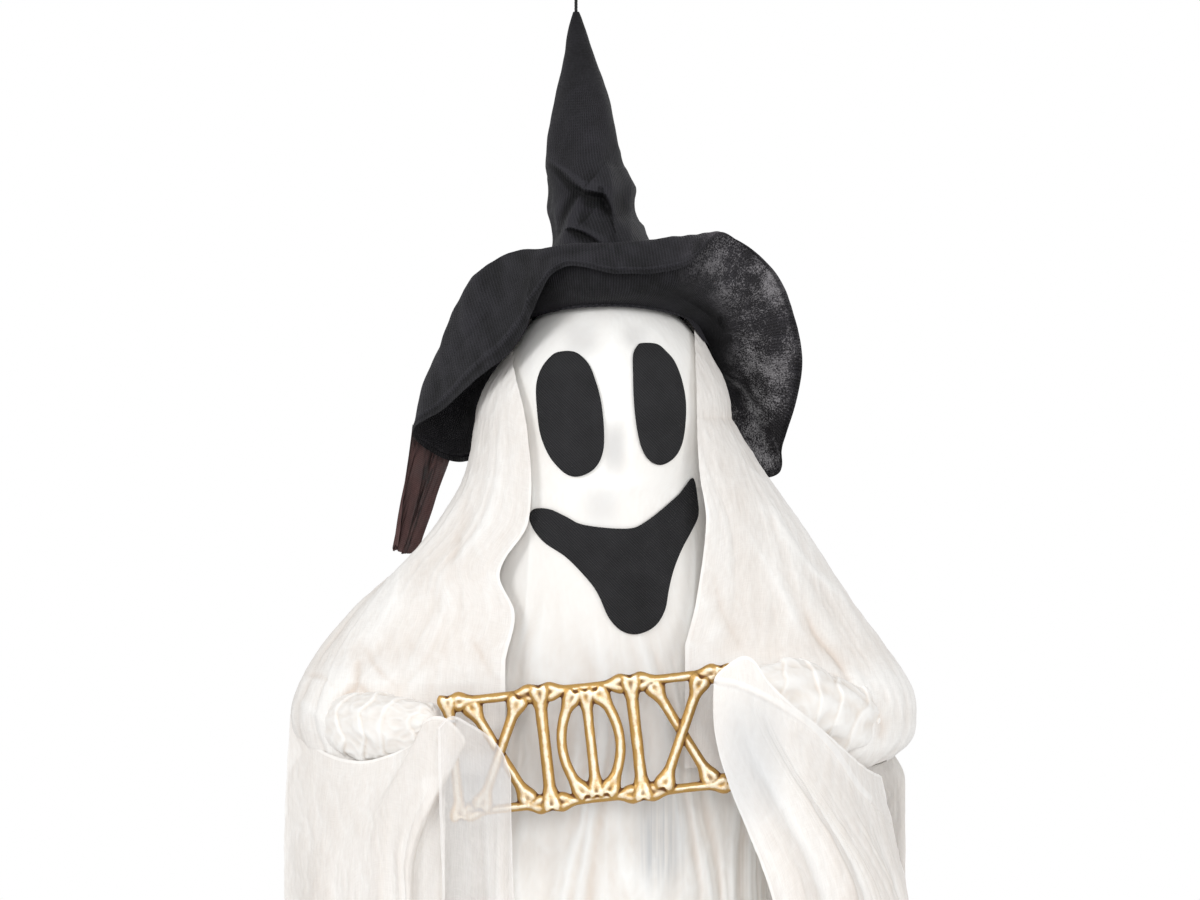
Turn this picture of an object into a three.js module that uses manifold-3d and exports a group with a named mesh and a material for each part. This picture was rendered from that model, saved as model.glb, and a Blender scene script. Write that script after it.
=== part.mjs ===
// A hanging, light-up ghost in a witch's hat, holding a trellis sign of cast bones.
// Millimetres, +Z up, the face towards -Y. The origin is the crown of the hanging loop.
import * as THREE from 'three';
import { mergeGeometries, mergeVertices } from 'three/addons/utils/BufferGeometryUtils.js';
import Module from 'manifold-3d';

const wasm = await Module();
wasm.setup();

// The whole figure
const FIGURE_HEIGHT = 915;
const LOOP_HEIGHT = 40;
const LOOP_HALF_WIDTH = 9;
const CORD_LENGTH = 40;
const CORD_DIAMETER = 2.5;
const KNOT_RADIUS = 3.2;
const HAT_RISE = 207;
const BODY_SHIFT = 20;
const FIT = 0.3;

// The head moulding
const HEAD_WIDTH = 164;
const HEAD_DEPTH = 188;
const HEAD_UPPER = 98;
const HEAD_LOWER = 107;
const HEAD_SHIFT = 4;
const FACE_TURN = 5.5;
const SHELL_WALL = 2.2;
const NECK_RADIUS = 34;
const CORD_HOLE_RADIUS = 3.2;

// Cloth
const CLOTH = 1.6;
const CLOTH_GAP = 0.6;
const CAPE_EASE = 1.6;
const PATCH_THICKNESS = 1.2;
const PATCH_GAP = 1.6;
const HEM_TEAR = 9;
const ROBE_HEM_HALF = 126;
const ROBE_FOLD = 7;

// The hat
const SEAM_DROP = 31;
const SEAM_TILT = 0.25;
const SEAM_EASE = 3;
const CAPE_TUCK = 5;
const TAIL_LENGTH = 92;

// Arms
const WIRE_RADIUS = 1.5;
const SHOULDER_HALF = 98;
const SHOULDER_DROP = 84;
const ELBOW_HALF = 209;
const ELBOW_DROP = 224;
const ELBOW_FORWARD = 10;
const ELBOW_RADIUS = 13;
const ELBOW_PRESS = 1;
const ELBOW_BEND = 15;
const ARM_RADIUS = 19;
const WRIST_RADIUS = 12;
const SHOULDER_PAD_RADIUS = 13;
const PAD_CREASE = 0.07;

// The bone sign
const SIGN_SPAN = 199;
const SIGN_HEIGHT = 84;
const SIGN_FORWARD = 110;
const SIGN_SHIFT = -8.5;
const SIGN_TILT = 6.4;
const SIGN_HANG = 27;
const SIGN_BELOW_ELBOW = 11;
const BONE_RADIUS = 3.4;
const KNUCKLE_RADIUS = 4.7;
const RING_WIRE = 1.2;
const RING_PLAY = 0.7;
const RING_STANDOFF = 3;

// Lamps, leads and the battery box
const PLUG_THICKNESS = 3;
const POST_RADIUS = 5;
const POST_FOOT_RADIUS = 11;
const BOARD_DROP = 18;
const BOARD_RADIUS = 22;
const BOARD_THICKNESS = 1.6;
const LAMP_COUNT = 4;
const LAMP_RADIUS = 2.5;
const LAMP_HEIGHT = 8;
const LAMP_RING = 13;
const LEAD_RADIUS = 1.2;
const CLAMP_HALF = 14;
const CLAMP_DEPTH = 7;
const CELL_LENGTH = 50.5;
const CELL_RADIUS = 7.2;
const CELL_COUNT = 3;
const CASE_WALL = 2;
const CONTACT_LENGTH = 4.5;
const DOOR_THICKNESS = 1.6;
const DOOR_LIP = 1.2;
const SWITCH_DEPTH = 8;
const SWITCH_TRAVEL = 4;
const KNOB_HEIGHT = 6;
const KNOB_WIDTH = 4;
const KNOB_REACH = 2.6;

// Heights that the pieces share
const TIP_Z = -(LOOP_HEIGHT + CORD_LENGTH);
const KNOT_Z = -LOOP_HEIGHT;
const CROWN_Z = TIP_Z - HAT_RISE;
const HEAD_MID_Z = CROWN_Z - HEAD_UPPER;
const CHIN_Z = HEAD_MID_Z - HEAD_LOWER;
const SHOULDER_Z = HEAD_MID_Z - SHOULDER_DROP;
const ELBOW_Z = HEAD_MID_Z - ELBOW_DROP;
const SIGN_Z = ELBOW_Z - SIGN_BELOW_ELBOW;
const HEM_Z = TIP_Z - FIGURE_HEIGHT;

// Finishes
const finish = (color, roughness, metalness = 0) =>
  new THREE.MeshStandardMaterial({ color, roughness, metalness });
const HAT_BLACK = finish(0x1b1a1d, 0.9);
const GAUZE_BROWN = finish(0x4a3a3a, 0.95);
const CLOTH_WHITE = finish(0xefece8, 0.9);
const GAUZE_WHITE = finish(0xeae6e2, 0.95);
const FELT_BLACK = finish(0x1e1e20, 0.9);
const SHELL_WHITE = finish(0xf4f4f2, 0.45);
const CASE_WHITE = finish(0xe6e6e2, 0.5);
const SWITCH_BLACK = finish(0x202022, 0.5);
const STEEL = finish(0xb8b8b8, 0.35, 1);
const CELL_GREY = finish(0x5a6068, 0.4, 0.3);
const BOARD_GREEN = finish(0x2f6b45, 0.6);
const LAMP_CLEAR = finish(0xf5f8ff, 0.2);
const LEAD_RED = finish(0x8c1f1f, 0.6);
const PADDING_WHITE = finish(0xf2efeb, 0.95);
const BONE_GOLD = finish(0xb8924f, 0.38, 0.6);
const CORD_BLACK = finish(0x151515, 0.85);

// Small maths
const lerp = (a, b, t) => a + (b - a) * t;
const clamp01 = (t) => Math.min(1, Math.max(0, t));
const ramp = (from, to, x) => THREE.MathUtils.smoothstep((x - from) / (to - from), 0, 1);
const vec = (x, y, z) => new THREE.Vector3(x, y, z);
const power = (value, exponent) => Math.sign(value) * Math.abs(value) ** exponent;
const range = (count) => Array.from({ length: count }, (_, i) => i);
const outwards = (side) => (side === 'left' ? -1 : 1);

/** A smooth curve through [height, value] stations that run downwards. */
function byHeight(stations) {
  const last = stations.length - 1;
  const slope = (i) => {
    const [z0, a] = stations[Math.max(0, i - 1)];
    const [z1, b] = stations[Math.min(last, i + 1)];
    return (b - a) / (z1 - z0);
  };
  return (z) => {
    const i = stations.findIndex(([height]) => z >= height);
    if (i === 0) return stations[0][1];
    if (i < 0) return stations[last][1];
    const [[z0, a], [z1, b]] = [stations[i - 1], stations[i]];
    const t = (z - z0) / (z1 - z0);
    const bend = t * (1 - t) ** 2 * slope(i - 1) - t * t * (1 - t) * slope(i);
    return lerp(a, b, t * t * (3 - 2 * t)) + (z1 - z0) * bend;
  };
}

// Solids

/** Merges shared corners, drops empty triangles and turns the faces outwards. */
function closed(geometry) {
  const bare = geometry.index ? geometry.toNonIndexed() : geometry.clone();
  for (const name of Object.keys(bare.attributes)) {
    if (name !== 'position') bare.deleteAttribute(name);
  }
  const merged = mergeVertices(bare, 1e-4);
  const from = merged.index.array;
  const corner = (i) => vec(0, 0, 0).fromBufferAttribute(merged.attributes.position, i);
  const kept = [];
  let volume = 0;
  for (let i = 0; i < from.length; i += 3) {
    const [a, b, c] = [from[i], from[i + 1], from[i + 2]];
    if (a === b || b === c || c === a) continue;
    kept.push(a, b, c);
    volume += corner(a).dot(corner(b).cross(corner(c)));
  }
  merged.setIndex(volume < 0 ? kept.reverse() : kept);
  return merged;
}

function toManifold(geometry) {
  const solid = closed(geometry);
  return new wasm.Manifold(new wasm.Mesh({
    numProp: 3,
    vertProperties: new Float32Array(solid.attributes.position.array),
    triVerts: new Uint32Array(solid.index.array),
  }));
}

function toGeometry(manifold) {
  const mesh = manifold.getMesh();
  const geometry = new THREE.BufferGeometry();
  geometry.setAttribute('position', new THREE.Float32BufferAttribute(mesh.vertProperties, 3));
  geometry.setIndex([...mesh.triVerts]);
  return geometry;
}

const join = (pieces) => toGeometry(pieces.map(toManifold).reduce((a, b) => a.add(b)));
const cut = (piece, tools) =>
  toGeometry(tools.map(toManifold).reduce((a, b) => a.subtract(b), toManifold(piece)));

/** A box given by its lowest and highest corners. */
function box(low, high) {
  const size = high.map((value, i) => value - low[i]);
  const middle = high.map((value, i) => (value + low[i]) / 2);
  return new THREE.BoxGeometry(...size).translate(...middle);
}

/** A solid of revolution about Z from [radius, z] points. */
function turned(profile, sides) {
  const points = profile.map(([r, z]) => new THREE.Vector2(r, z));
  return new THREE.LatheGeometry(points, sides).rotateX(Math.PI / 2);
}

/** Triangles between rows of points; a wrapped skin joins each row's last point to its first. */
function skin(rows, wrap) {
  const positions = [];
  const face = (...corners) => corners.forEach((p) => positions.push(p.x, p.y, p.z));
  const count = rows[0].length;
  for (let j = 0; j + 1 < rows.length; j++) {
    for (let i = 0; i < (wrap ? count : count - 1); i++) {
      const next = (i + 1) % count;
      face(rows[j][i], rows[j + 1][i], rows[j + 1][next]);
      face(rows[j][i], rows[j + 1][next], rows[j][next]);
    }
  }
  const geometry = new THREE.BufferGeometry();
  geometry.setAttribute('position', new THREE.Float32BufferAttribute(positions, 3));
  return geometry;
}

/** A round limb along a curve through [distance, radius] stations, with flat ends. */
function limb(curve, stations, sides) {
  const length = curve.getLength();
  const rows = stations.map(([distance, radius]) => {
    const t = clamp01(distance / length);
    const middle = curve.getPointAt(t);
    const along = curve.getTangentAt(t);
    const level = vec(along.y, -along.x, 0);
    const across = level.lengthSq() > 1e-6 ? level.normalize() : vec(1, 0, 0);
    const up = along.clone().cross(across);
    return range(sides).map((i) => {
      const turn = (2 * Math.PI * i) / sides;
      return middle.clone()
        .addScaledVector(across, radius * Math.cos(turn))
        .addScaledVector(up, radius * Math.sin(turn));
    });
  });
  const cap = (row, t) => row.map(() => curve.getPointAt(t));
  const last = rows.length - 1;
  return closed(skin([
    cap(rows[0], clamp01(stations[0][0] / length)), ...rows,
    cap(rows[last], clamp01(stations[last][0] / length)),
  ], true));
}

/** A rod of one radius along a curve. */
function rod(curve, radius, sides, steps) {
  const length = curve.getLength();
  return limb(curve, range(steps + 1).map((i) => [(length * i) / steps, radius]), sides);
}

const line = (from, to) => new THREE.LineCurve3(from, to);
const smooth = (points, loop = false) => new THREE.CatmullRomCurve3(points, loop, 'centripetal');

/** Straight runs joined by rounded corners. */
function bentWire(points, bend) {
  const path = new THREE.CurvePath();
  const towards = (from, to, reach) => from.clone().addScaledVector(to.clone().sub(from).normalize(), reach);
  let from = points[0];
  for (let i = 1; i + 1 < points.length; i++) {
    const before = towards(points[i], points[i - 1], bend);
    const after = towards(points[i], points[i + 1], bend);
    path.add(line(from, before));
    path.add(new THREE.QuadraticBezierCurve3(before, points[i], after));
    from = after;
  }
  path.add(line(from, points[points.length - 1]));
  return path;
}

/** The unit normal of a surface at (u, v). */
function normalAt(surface, u, v) {
  const step = 1e-3;
  const [u0, u1] = [Math.max(0, u - step), Math.min(1, u + step)];
  const [v0, v1] = [Math.max(0, v - step), Math.min(1, v + step)];
  const across = surface(u1, v).sub(surface(u0, v));
  const down = surface(u, v1).sub(surface(u, v0));
  return across.cross(down).normalize();
}

/** A sheet between two offsets of a surface, closed along its edges. */
function sheet(surface, across, down, offsets = [-CLOTH / 2, CLOTH / 2], wrap = false) {
  const [near, far] = offsets.map((offset) => range(down + 1).map((j) =>
    range(wrap ? across : across + 1).map((i) => {
      const [u, v] = [i / across, j / down];
      return surface(u, v).addScaledVector(normalAt(surface, u, v), offset);
    })));
  const back = [...far].reverse();
  const girdle = skin([...near, ...back, near[0]], wrap);
  if (wrap) return closed(girdle);
  const edge = (i) => [near.map((row) => row[i]), far.map((row) => row[i])];
  const start = skin(edge(0), false);
  const end = skin(edge(across).reverse(), false);
  return closed(mergeGeometries([girdle, start, end]));
}

// The head moulding

const HALF_WIDTH = HEAD_WIDTH / 2;
const HALF_DEPTH = HEAD_DEPTH / 2;
const DOME_ROWS = 5;
const SHELL_ROWS = 8;

/** Half width and half depth of the head's upper dome at a height, grown by a clearance. */
function domeRing(z, grow) {
  const k = clamp01((z - HEAD_MID_Z) / (HEAD_UPPER + grow));
  const round = Math.sqrt(1 - k * k);
  return { a: (HALF_WIDTH + grow) * round, b: (HALF_DEPTH + grow) * round };
}

/** Half width and half depth below the dome, drawn in to the round neck. */
function jawRing(z) {
  const k = clamp01((HEAD_MID_Z - z) / HEAD_LOWER);
  const drawn = (half) => half * Math.sqrt(1 - (1 - (NECK_RADIUS / half) ** 2) * k ** 2.2);
  return { a: drawn(HALF_WIDTH), b: drawn(HALF_DEPTH) };
}

/** Height on a dome for t from the edge of a hole at its top to its widest ring. */
function domeHeight(t, grow, hole) {
  const start = Math.asin(hole / (HALF_WIDTH + grow));
  return HEAD_MID_Z + (HEAD_UPPER + grow) * Math.cos(lerp(start, Math.PI / 2, t));
}

/** How deep the face is hollowed: eye sockets, nose and upper lip. */
function faceRelief(x, z) {
  const [px, pz] = [x - FACE_TURN, z - HEAD_MID_Z];
  const hollow = (cx, cz, wide, high, deep) =>
    deep * Math.exp(-(((px - cx) / wide) ** 2) - (((pz - cz) / high) ** 2));
  const socket = 32;
  return hollow(-socket, 4, 17, 22, 7) + hollow(socket, 8, 17, 22, 7)
    + hollow(0, -16, 8, 12, 6) + hollow(0, -56, 16, 9, 4) + hollow(0, 54, 26, 9, 3);
}

function headShell(front) {
  const dome = DOME_ROWS / SHELL_ROWS;
  const facing = front ? -1 : 1;
  const surface = (u, v) => {
    const upper = v < dome;
    const z = upper
      ? domeHeight(v / dome, 0, CORD_HOLE_RADIUS)
      : lerp(HEAD_MID_Z, CHIN_Z, (v - dome) / (1 - dome));
    const { a, b } = upper ? domeRing(z, 0) : jawRing(z);
    const turn = Math.PI * u;
    const x = a * Math.cos(turn);
    const hollow = front ? faceRelief(x, z) * Math.sin(turn) : 0;
    return vec(HEAD_SHIFT + x, facing * ((b - hollow) * Math.sin(turn) + FIT / 2), z);
  };
  return sheet(surface, 12, SHELL_ROWS, front ? [0, -SHELL_WALL] : [0, SHELL_WALL]);
}

// The neck plug, and the lamp that stands on it

const PLUG_TOP = CHIN_Z - FIT;
const PLUG_BOTTOM = PLUG_TOP - PLUG_THICKNESS;
const BOARD_Z = HEAD_MID_Z - BOARD_DROP;
const CLAMP_TOP = PLUG_BOTTOM - FIT;
const CASE_TOP = CLAMP_TOP - CLAMP_DEPTH - FIT;
const LEAD_X = HEAD_SHIFT + CLAMP_HALF + LEAD_RADIUS + 1.8;
const LEAD_Y = WIRE_RADIUS + LEAD_RADIUS + 2.8;

const lead = (top, bottom, radius, sides) =>
  rod(line(vec(LEAD_X, LEAD_Y, top), vec(LEAD_X, LEAD_Y, bottom)), radius, sides, 4);
const leadHole = (top, bottom) => lead(top + 1, bottom - 1, LEAD_RADIUS + FIT, 8);

function neckPlug() {
  const outer = NECK_RADIUS - SHELL_WALL - 2 * FIT;
  const lip = 5;
  const wall = 2;
  const plug = turned([
    [0, PLUG_BOTTOM], [NECK_RADIUS, PLUG_BOTTOM], [NECK_RADIUS, PLUG_TOP], [outer, PLUG_TOP],
    [outer - lip + 1, PLUG_TOP + lip], [outer - lip - wall, PLUG_TOP + lip],
    [outer - lip - wall, PLUG_TOP], [0, PLUG_TOP],
  ], 20).translate(HEAD_SHIFT, 0, 0);
  return cut(plug, [leadHole(PLUG_TOP + lip, PLUG_BOTTOM)]);
}

function lampPost() {
  const foot = PLUG_TOP + FIT;
  const flange = 2;
  return turned([
    [0, foot], [POST_FOOT_RADIUS, foot], [POST_FOOT_RADIUS, foot + flange],
    [POST_RADIUS, foot + flange + 6], [POST_RADIUS - 1, BOARD_Z - FIT], [0, BOARD_Z - FIT],
  ], 10).translate(HEAD_SHIFT, 0, 0);
}

function lampBoard() {
  return turned([
    [0, BOARD_Z], [BOARD_RADIUS, BOARD_Z], [BOARD_RADIUS, BOARD_Z + BOARD_THICKNESS],
    [0, BOARD_Z + BOARD_THICKNESS],
  ], 20).translate(HEAD_SHIFT, 0, 0);
}

/** One round-nosed lamp of the ring. */
function lamp(index) {
  const foot = BOARD_Z + BOARD_THICKNESS + FIT;
  const nose = foot + LAMP_HEIGHT;
  const turn = ((index + 0.5) * 2 * Math.PI) / LAMP_COUNT;
  return turned([
    [0, foot], [LAMP_RADIUS + 0.5, foot], [LAMP_RADIUS + 0.5, foot + 1], [LAMP_RADIUS, foot + 1],
    [LAMP_RADIUS, nose - LAMP_RADIUS], [LAMP_RADIUS * 0.7, nose - LAMP_RADIUS * 0.3], [0, nose],
  ], 8).translate(HEAD_SHIFT + LAMP_RING * Math.cos(turn), LAMP_RING * Math.sin(turn), 0);
}

// The armature: one bent wire from arm to arm, clamped under the neck

const WIRE_Z = CLAMP_TOP - CLAMP_DEPTH / 2;
const ELBOWS = {
  left: vec(-ELBOW_HALF, -ELBOW_FORWARD, ELBOW_Z),
  right: vec(ELBOW_HALF, -ELBOW_FORWARD, ELBOW_Z),
};
const SHOULDERS = {
  left: vec(-SHOULDER_HALF, 0, SHOULDER_Z),
  right: vec(SHOULDER_HALF, 0, SHOULDER_Z),
};

/** A place on an upper arm's centre line, given by its distance from the elbow. */
function aboveElbow(side, distance) {
  const back = SHOULDERS[side].clone().sub(ELBOWS[side]).normalize();
  return ELBOWS[side].clone().addScaledVector(back, distance);
}

const wireStop = 2 * ELBOW_RADIUS;
const shoulderWire = bentWire([
  aboveElbow('left', wireStop), SHOULDERS.left,
  vec(HEAD_SHIFT - NECK_RADIUS - 6, 0, WIRE_Z), vec(HEAD_SHIFT + NECK_RADIUS + 6, 0, WIRE_Z),
  SHOULDERS.right, aboveElbow('right', wireStop),
], 12);
const SHOULDER_WIRE_STEPS = 28;
const FOREARM_WIRE_STEPS = 9;

function wireClamp() {
  const half = 8;
  const block = box([HEAD_SHIFT - CLAMP_HALF, -half, CLAMP_TOP - CLAMP_DEPTH],
    [HEAD_SHIFT + CLAMP_HALF, half, CLAMP_TOP]);
  const reach = CLAMP_HALF + 2;
  const bore = rod(line(vec(HEAD_SHIFT - reach, 0, WIRE_Z), vec(HEAD_SHIFT + reach, 0, WIRE_Z)),
    WIRE_RADIUS + FIT, 10, 1);
  return cut(block, [bore]);
}

/** Stations of a stuffed limb: a round start, a wrapped length and a round end. */
function padStations(length, startRadius, radiusAt, endRadius, rings, turns) {
  const ball = [0.35, 0.8, 1.25].map((turn) => [1 - Math.cos(turn), Math.sin(turn)]);
  const start = ball.map(([d, r]) => [startRadius * d, startRadius * r]);
  const end = ball.map(([d, r]) => [length - endRadius * d, endRadius * r]).reverse();
  const middle = range(rings + 1).map((i) => {
    const distance = lerp(startRadius, length - endRadius, i / rings);
    const swell = 1 - PAD_CREASE * Math.abs(Math.sin((Math.PI * turns * i) / rings));
    return [distance, radiusAt(i / rings) * swell];
  });
  return [...start, ...middle, ...end];
}

/** Radius of the stuffed upper arm at a share of its length from the shoulder. */
const upperArmRadius = (t) => lerp(SHOULDER_PAD_RADIUS, ELBOW_RADIUS, t) + 3 * Math.sin(Math.PI * t);

/** The stuffed upper arm, creased where the forearm presses on it as the elbow bends. */
function upperArm(side) {
  const path = line(SHOULDERS[side], aboveElbow(side, ELBOW_RADIUS - ELBOW_PRESS));
  const stations = padStations(path.getLength(), SHOULDER_PAD_RADIUS, upperArmRadius, ELBOW_RADIUS, 5, 2.5);
  const pressed = [0, 0.5, 1].map((share) => bent(forearmPad(side, FIT), side, share * ELBOW_BEND));
  return cut(limb(path, stations, 10), [...wireBore(shoulderWire, SHOULDER_WIRE_STEPS), ...pressed]);
}

/** A forearm piece as it lies once the elbow is raised by some degrees. */
function bent(geometry, side, degrees) {
  const [x, y, z] = ELBOWS[side].toArray();
  return geometry.translate(-x, -y, -z).rotateX(-THREE.MathUtils.degToRad(degrees)).translate(x, y, z);
}

/** The room that a wire takes with its clearance, carried on a little past both ends. */
function wireBore(path, steps) {
  const radius = WIRE_RADIUS + FIT;
  const past = (t, reach) => {
    const [end, way] = [path.getPointAt(t), path.getTangentAt(t)];
    const [outside, inside] = [reach, -reach / 8].map((d) => end.clone().addScaledVector(way, d));
    return rod(line(outside, inside), radius, 8, 1);
  };
  return [rod(path, radius, 8, steps), past(0, -4), past(1, 4)];
}

// The wrist rings hold the sign by its end bones, just under their upper knuckles

const signTurn = THREE.MathUtils.degToRad(SIGN_TILT);
const boneRadius = (t) => BONE_RADIUS * (1 + 0.3 * Math.abs(2 * t - 1) ** 3);
const RING_RADIUS = boneRadius(0.5 + SIGN_HANG / SIGN_HEIGHT) + RING_PLAY + RING_WIRE;
const onSign = (x, z) => vec(
  SIGN_SHIFT + x * Math.cos(signTurn) - z * Math.sin(signTurn),
  -SIGN_FORWARD,
  SIGN_Z + x * Math.sin(signTurn) + z * Math.cos(signTurn),
);
const RINGS = {
  left: onSign(-SIGN_SPAN / 2, SIGN_HANG),
  right: onSign(SIGN_SPAN / 2, SIGN_HANG),
};
const beside = (side, reach) => RINGS[side].clone().add(vec(outwards(side) * reach, 0, 0));

const wristRing = (side) =>
  new THREE.TorusGeometry(RING_RADIUS, RING_WIRE, 5, 14).translate(...RINGS[side].toArray());

/** The forearm's centre line, from the elbow forwards and inwards to the wrist. */
function forearmCurve(side) {
  const wrist = beside(side, RING_RADIUS + RING_WIRE + RING_STANDOFF);
  const elbow = ELBOWS[side];
  const bow = elbow.clone().lerp(wrist, 0.5).add(vec(outwards(side) * 9, -7, 0));
  return new THREE.QuadraticBezierCurve3(elbow, bow, wrist);
}

function forearmWirePath(side) {
  const path = new THREE.CurvePath();
  path.add(forearmCurve(side));
  path.add(line(forearmCurve(side).getPoint(1), beside(side, RING_RADIUS + RING_WIRE + FIT)));
  return path;
}

/** Radius of the stuffed forearm at a share of its length from the elbow. */
const forearmRadius = (t) =>
  lerp(lerp(ELBOW_RADIUS, ARM_RADIUS, ramp(0, 0.5, t)), WRIST_RADIUS, ramp(0.5, 1, t));

/** The stuffed forearm before it is bored for its wire, grown by a clearance. */
function forearmPad(side, grow = 0) {
  const curve = forearmCurve(side);
  const path = new THREE.CurvePath();
  path.add(line(curve.getPoint(0).addScaledVector(curve.getTangent(0), -ELBOW_RADIUS), curve.getPoint(0)));
  path.add(curve);
  const stations = padStations(path.getLength(), ELBOW_RADIUS, forearmRadius, WRIST_RADIUS, 8, 4);
  return limb(path, stations.map(([distance, radius]) => [distance, radius + grow]), 10);
}

const forearm = (side) => cut(forearmPad(side), wireBore(forearmWirePath(side), FOREARM_WIRE_STEPS));

// The robe: a front and a back panel, sewn over the head and at the sides, open for the arms

const layer = (count) => count * (CLOTH + CLOTH_GAP) - CLOTH / 2;
const ROBE_ROWS = 14;
const robeWidth = byHeight([
  [HEAD_MID_Z, HALF_WIDTH + layer(1)], [SHOULDER_Z, HALF_WIDTH + 6], [ELBOW_Z, ROBE_HEM_HALF - 14],
  [HEM_Z, ROBE_HEM_HALF],
]);
const robeFront = byHeight([
  [HEAD_MID_Z, HALF_DEPTH + layer(1)], [SHOULDER_Z, HALF_DEPTH - 6], [SHOULDER_Z - 80, HALF_DEPTH - 18],
  [ELBOW_Z, HALF_DEPTH - 24], [HEM_Z, HALF_DEPTH - 16],
]);
const robeBack = byHeight([
  [HEAD_MID_Z, HALF_DEPTH + layer(1)], [SHOULDER_Z, HALF_DEPTH - 4], [ELBOW_Z, HALF_DEPTH - 20],
  [HEM_Z, HALF_DEPTH - 12],
]);
const middleAt = (z) => lerp(HEAD_SHIFT, 0, ramp(HEAD_MID_Z, SHOULDER_Z, z));

/** Half angle of the side opening that an arm comes through. */
function armOpening(z) {
  const sewn = 0.012;
  const open = 0.5;
  const top = SHOULDER_Z + 2 * SHOULDER_PAD_RADIUS;
  const bottom = SHOULDER_Z - 3 * ARM_RADIUS;
  return lerp(sewn, open, ramp(top + 22, top, z) * ramp(bottom - 40, bottom, z));
}

/** Gathered folds that start below the chin and deepen towards the hem. */
function robeFold(front, turn, z) {
  const [count, phase] = front ? [13, 0.5] : [9, 1.9];
  const depth = ROBE_FOLD * ramp(CHIN_Z + 6, ELBOW_Z - 60, z) * Math.sqrt(Math.sin(turn));
  return depth * (0.6 * Math.cos(count * turn + phase) + 0.4 * Math.cos(count * 0.62 * turn + 2 * phase));
}

/** A torn, uneven hem. */
const hemAt = (u, phase) => HEM_Z + HEM_TEAR + HEM_TEAR * Math.sin(9 * u + phase) * Math.cos(23 * u + phase);

function robePoint(front, u, v) {
  const dome = DOME_ROWS / ROBE_ROWS;
  const below = v > dome;
  const depthDown = ((v - dome) / (1 - dome)) ** 1.5;
  const z = below
    ? lerp(HEAD_MID_Z, hemAt(u, front ? 0.4 : 2.1), depthDown)
    : domeHeight(v / dome, layer(1), CORD_HOLE_RADIUS + layer(1));
  const ring = domeRing(z, layer(1));
  const half = below ? robeWidth(z) : ring.a;
  const deep = below ? (front ? robeFront(z) : robeBack(z)) : ring.b;
  const side = front ? -1 : 1;
  const open = armOpening(z);
  const turn = lerp(open, Math.PI - open, u);
  const fold = robeFold(front, turn, z);
  return vec(
    middleAt(z) - side * (half + 0.35 * fold) * Math.cos(turn),
    side * ((deep + fold) * Math.sin(turn) + FIT),
    z,
  );
}

const robePanel = (front) => sheet((u, v) => robePoint(front, u, v), front ? 26 : 18, ROBE_ROWS);

// The felt face

/** Depth of the face cloth at a place seen from the front. */
function faceDepth(x, z) {
  const ring = domeRing(z, layer(1));
  const [half, deep] = z > HEAD_MID_Z ? [ring.a, ring.b] : [robeWidth(z), robeFront(z)];
  const turn = Math.acos((x - middleAt(z)) / half);
  return -(deep + robeFold(true, turn, z)) * Math.sin(turn) - FIT;
}

/** A felt patch laid on the face: an outline of [x, z] points round its own middle. */
function facePatch([middleX, drop], outline, rings) {
  const loop = smooth(outline.map(([x, z]) => vec(x, 0, z)), true);
  const around = 24;
  const spread = (lift) => range(rings + 1).map((j) => range(around).map((i) => {
    const p = loop.getPoint(i / around).multiplyScalar(j / rings);
    const [x, z] = [middleX + p.x, HEAD_MID_Z + drop + p.z];
    return vec(x, faceDepth(x, z) - lift, z);
  }));
  const near = CLOTH / 2 + PATCH_GAP;
  return closed(skin([...spread(near), ...spread(near + PATCH_THICKNESS).reverse()], true));
}

// Each patch: its middle as [x, height above the head's widest ring], its outline, its rings of points
const LEFT_EYE = [[-9, 45], [4, 45], [18, 26], [24, 4], [24, -26], [8, -45], [-10, -37], [-22, -14],
  [-25, 20], [-19, 38]];
const RIGHT_EYE = [[-13, 44], [2, 43], [14, 26], [19, 0], [17, -28], [1, -45], [-12, -33], [-18, -4],
  [-20, 26], [-18, 40]];
const MOUTH = [[39, 56], [42, 28], [31, 4], [21, -25], [11, -52], [-7, -57], [-24, -44], [-37, -19],
  [-53, -2], [-75, 14], [-81, 28], [-68, 34], [-44, 23], [-14, 19], [8, 27], [29, 45]];
const eyeLeft = () => facePatch([-24, 3], LEFT_EYE, 3);
const eyeRight = () => facePatch([41, 10], RIGHT_EYE, 3);
const mouth = () => facePatch([27, -100], MOUTH, 5);

// The cape: loose gauze from under the hat over the shoulders and elbows, open in front

const cover = ELBOW_HALF + ARM_RADIUS;
const capeHalf = {
  left: byHeight([
    [HEAD_MID_Z, HALF_WIDTH + 13], [HEAD_MID_Z - 40, HALF_WIDTH + 21],
    [SHOULDER_Z + 8, SHOULDER_HALF + 26], [SHOULDER_Z - 24, SHOULDER_HALF + 52],
    [SHOULDER_Z - 62, cover - 37], [SHOULDER_Z - 102, cover - 7], [ELBOW_Z + 8, cover + 5],
    [ELBOW_Z - 36, cover + 8],
  ]),
  right: byHeight([
    [HEAD_MID_Z, HALF_WIDTH + 14], [HEAD_MID_Z - 40, HALF_WIDTH + 38],
    [SHOULDER_Z + 4, SHOULDER_HALF + 50], [SHOULDER_Z - 52, cover - 42],
    [SHOULDER_Z - 88, cover - 15], [ELBOW_Z + 22, cover + 6], [ELBOW_Z, cover + 8],
    [ELBOW_Z - 36, cover + 6],
  ]),
};
const capeEdge = {
  left: byHeight([
    [HEAD_MID_Z + 40, 66], [HEAD_MID_Z - 16, 54], [SHOULDER_Z + 8, 54], [SHOULDER_Z - 29, 75],
    [SHOULDER_Z - 59, 64], [SHOULDER_Z - 93, 71],
  ]),
  right: byHeight([
    [HEAD_MID_Z + 50, 66], [HEAD_MID_Z - 38, 64], [SHOULDER_Z + 8, 71], [SHOULDER_Z - 52, 66],
    [SHOULDER_Z - 82, 57],
  ]),
};
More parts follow.
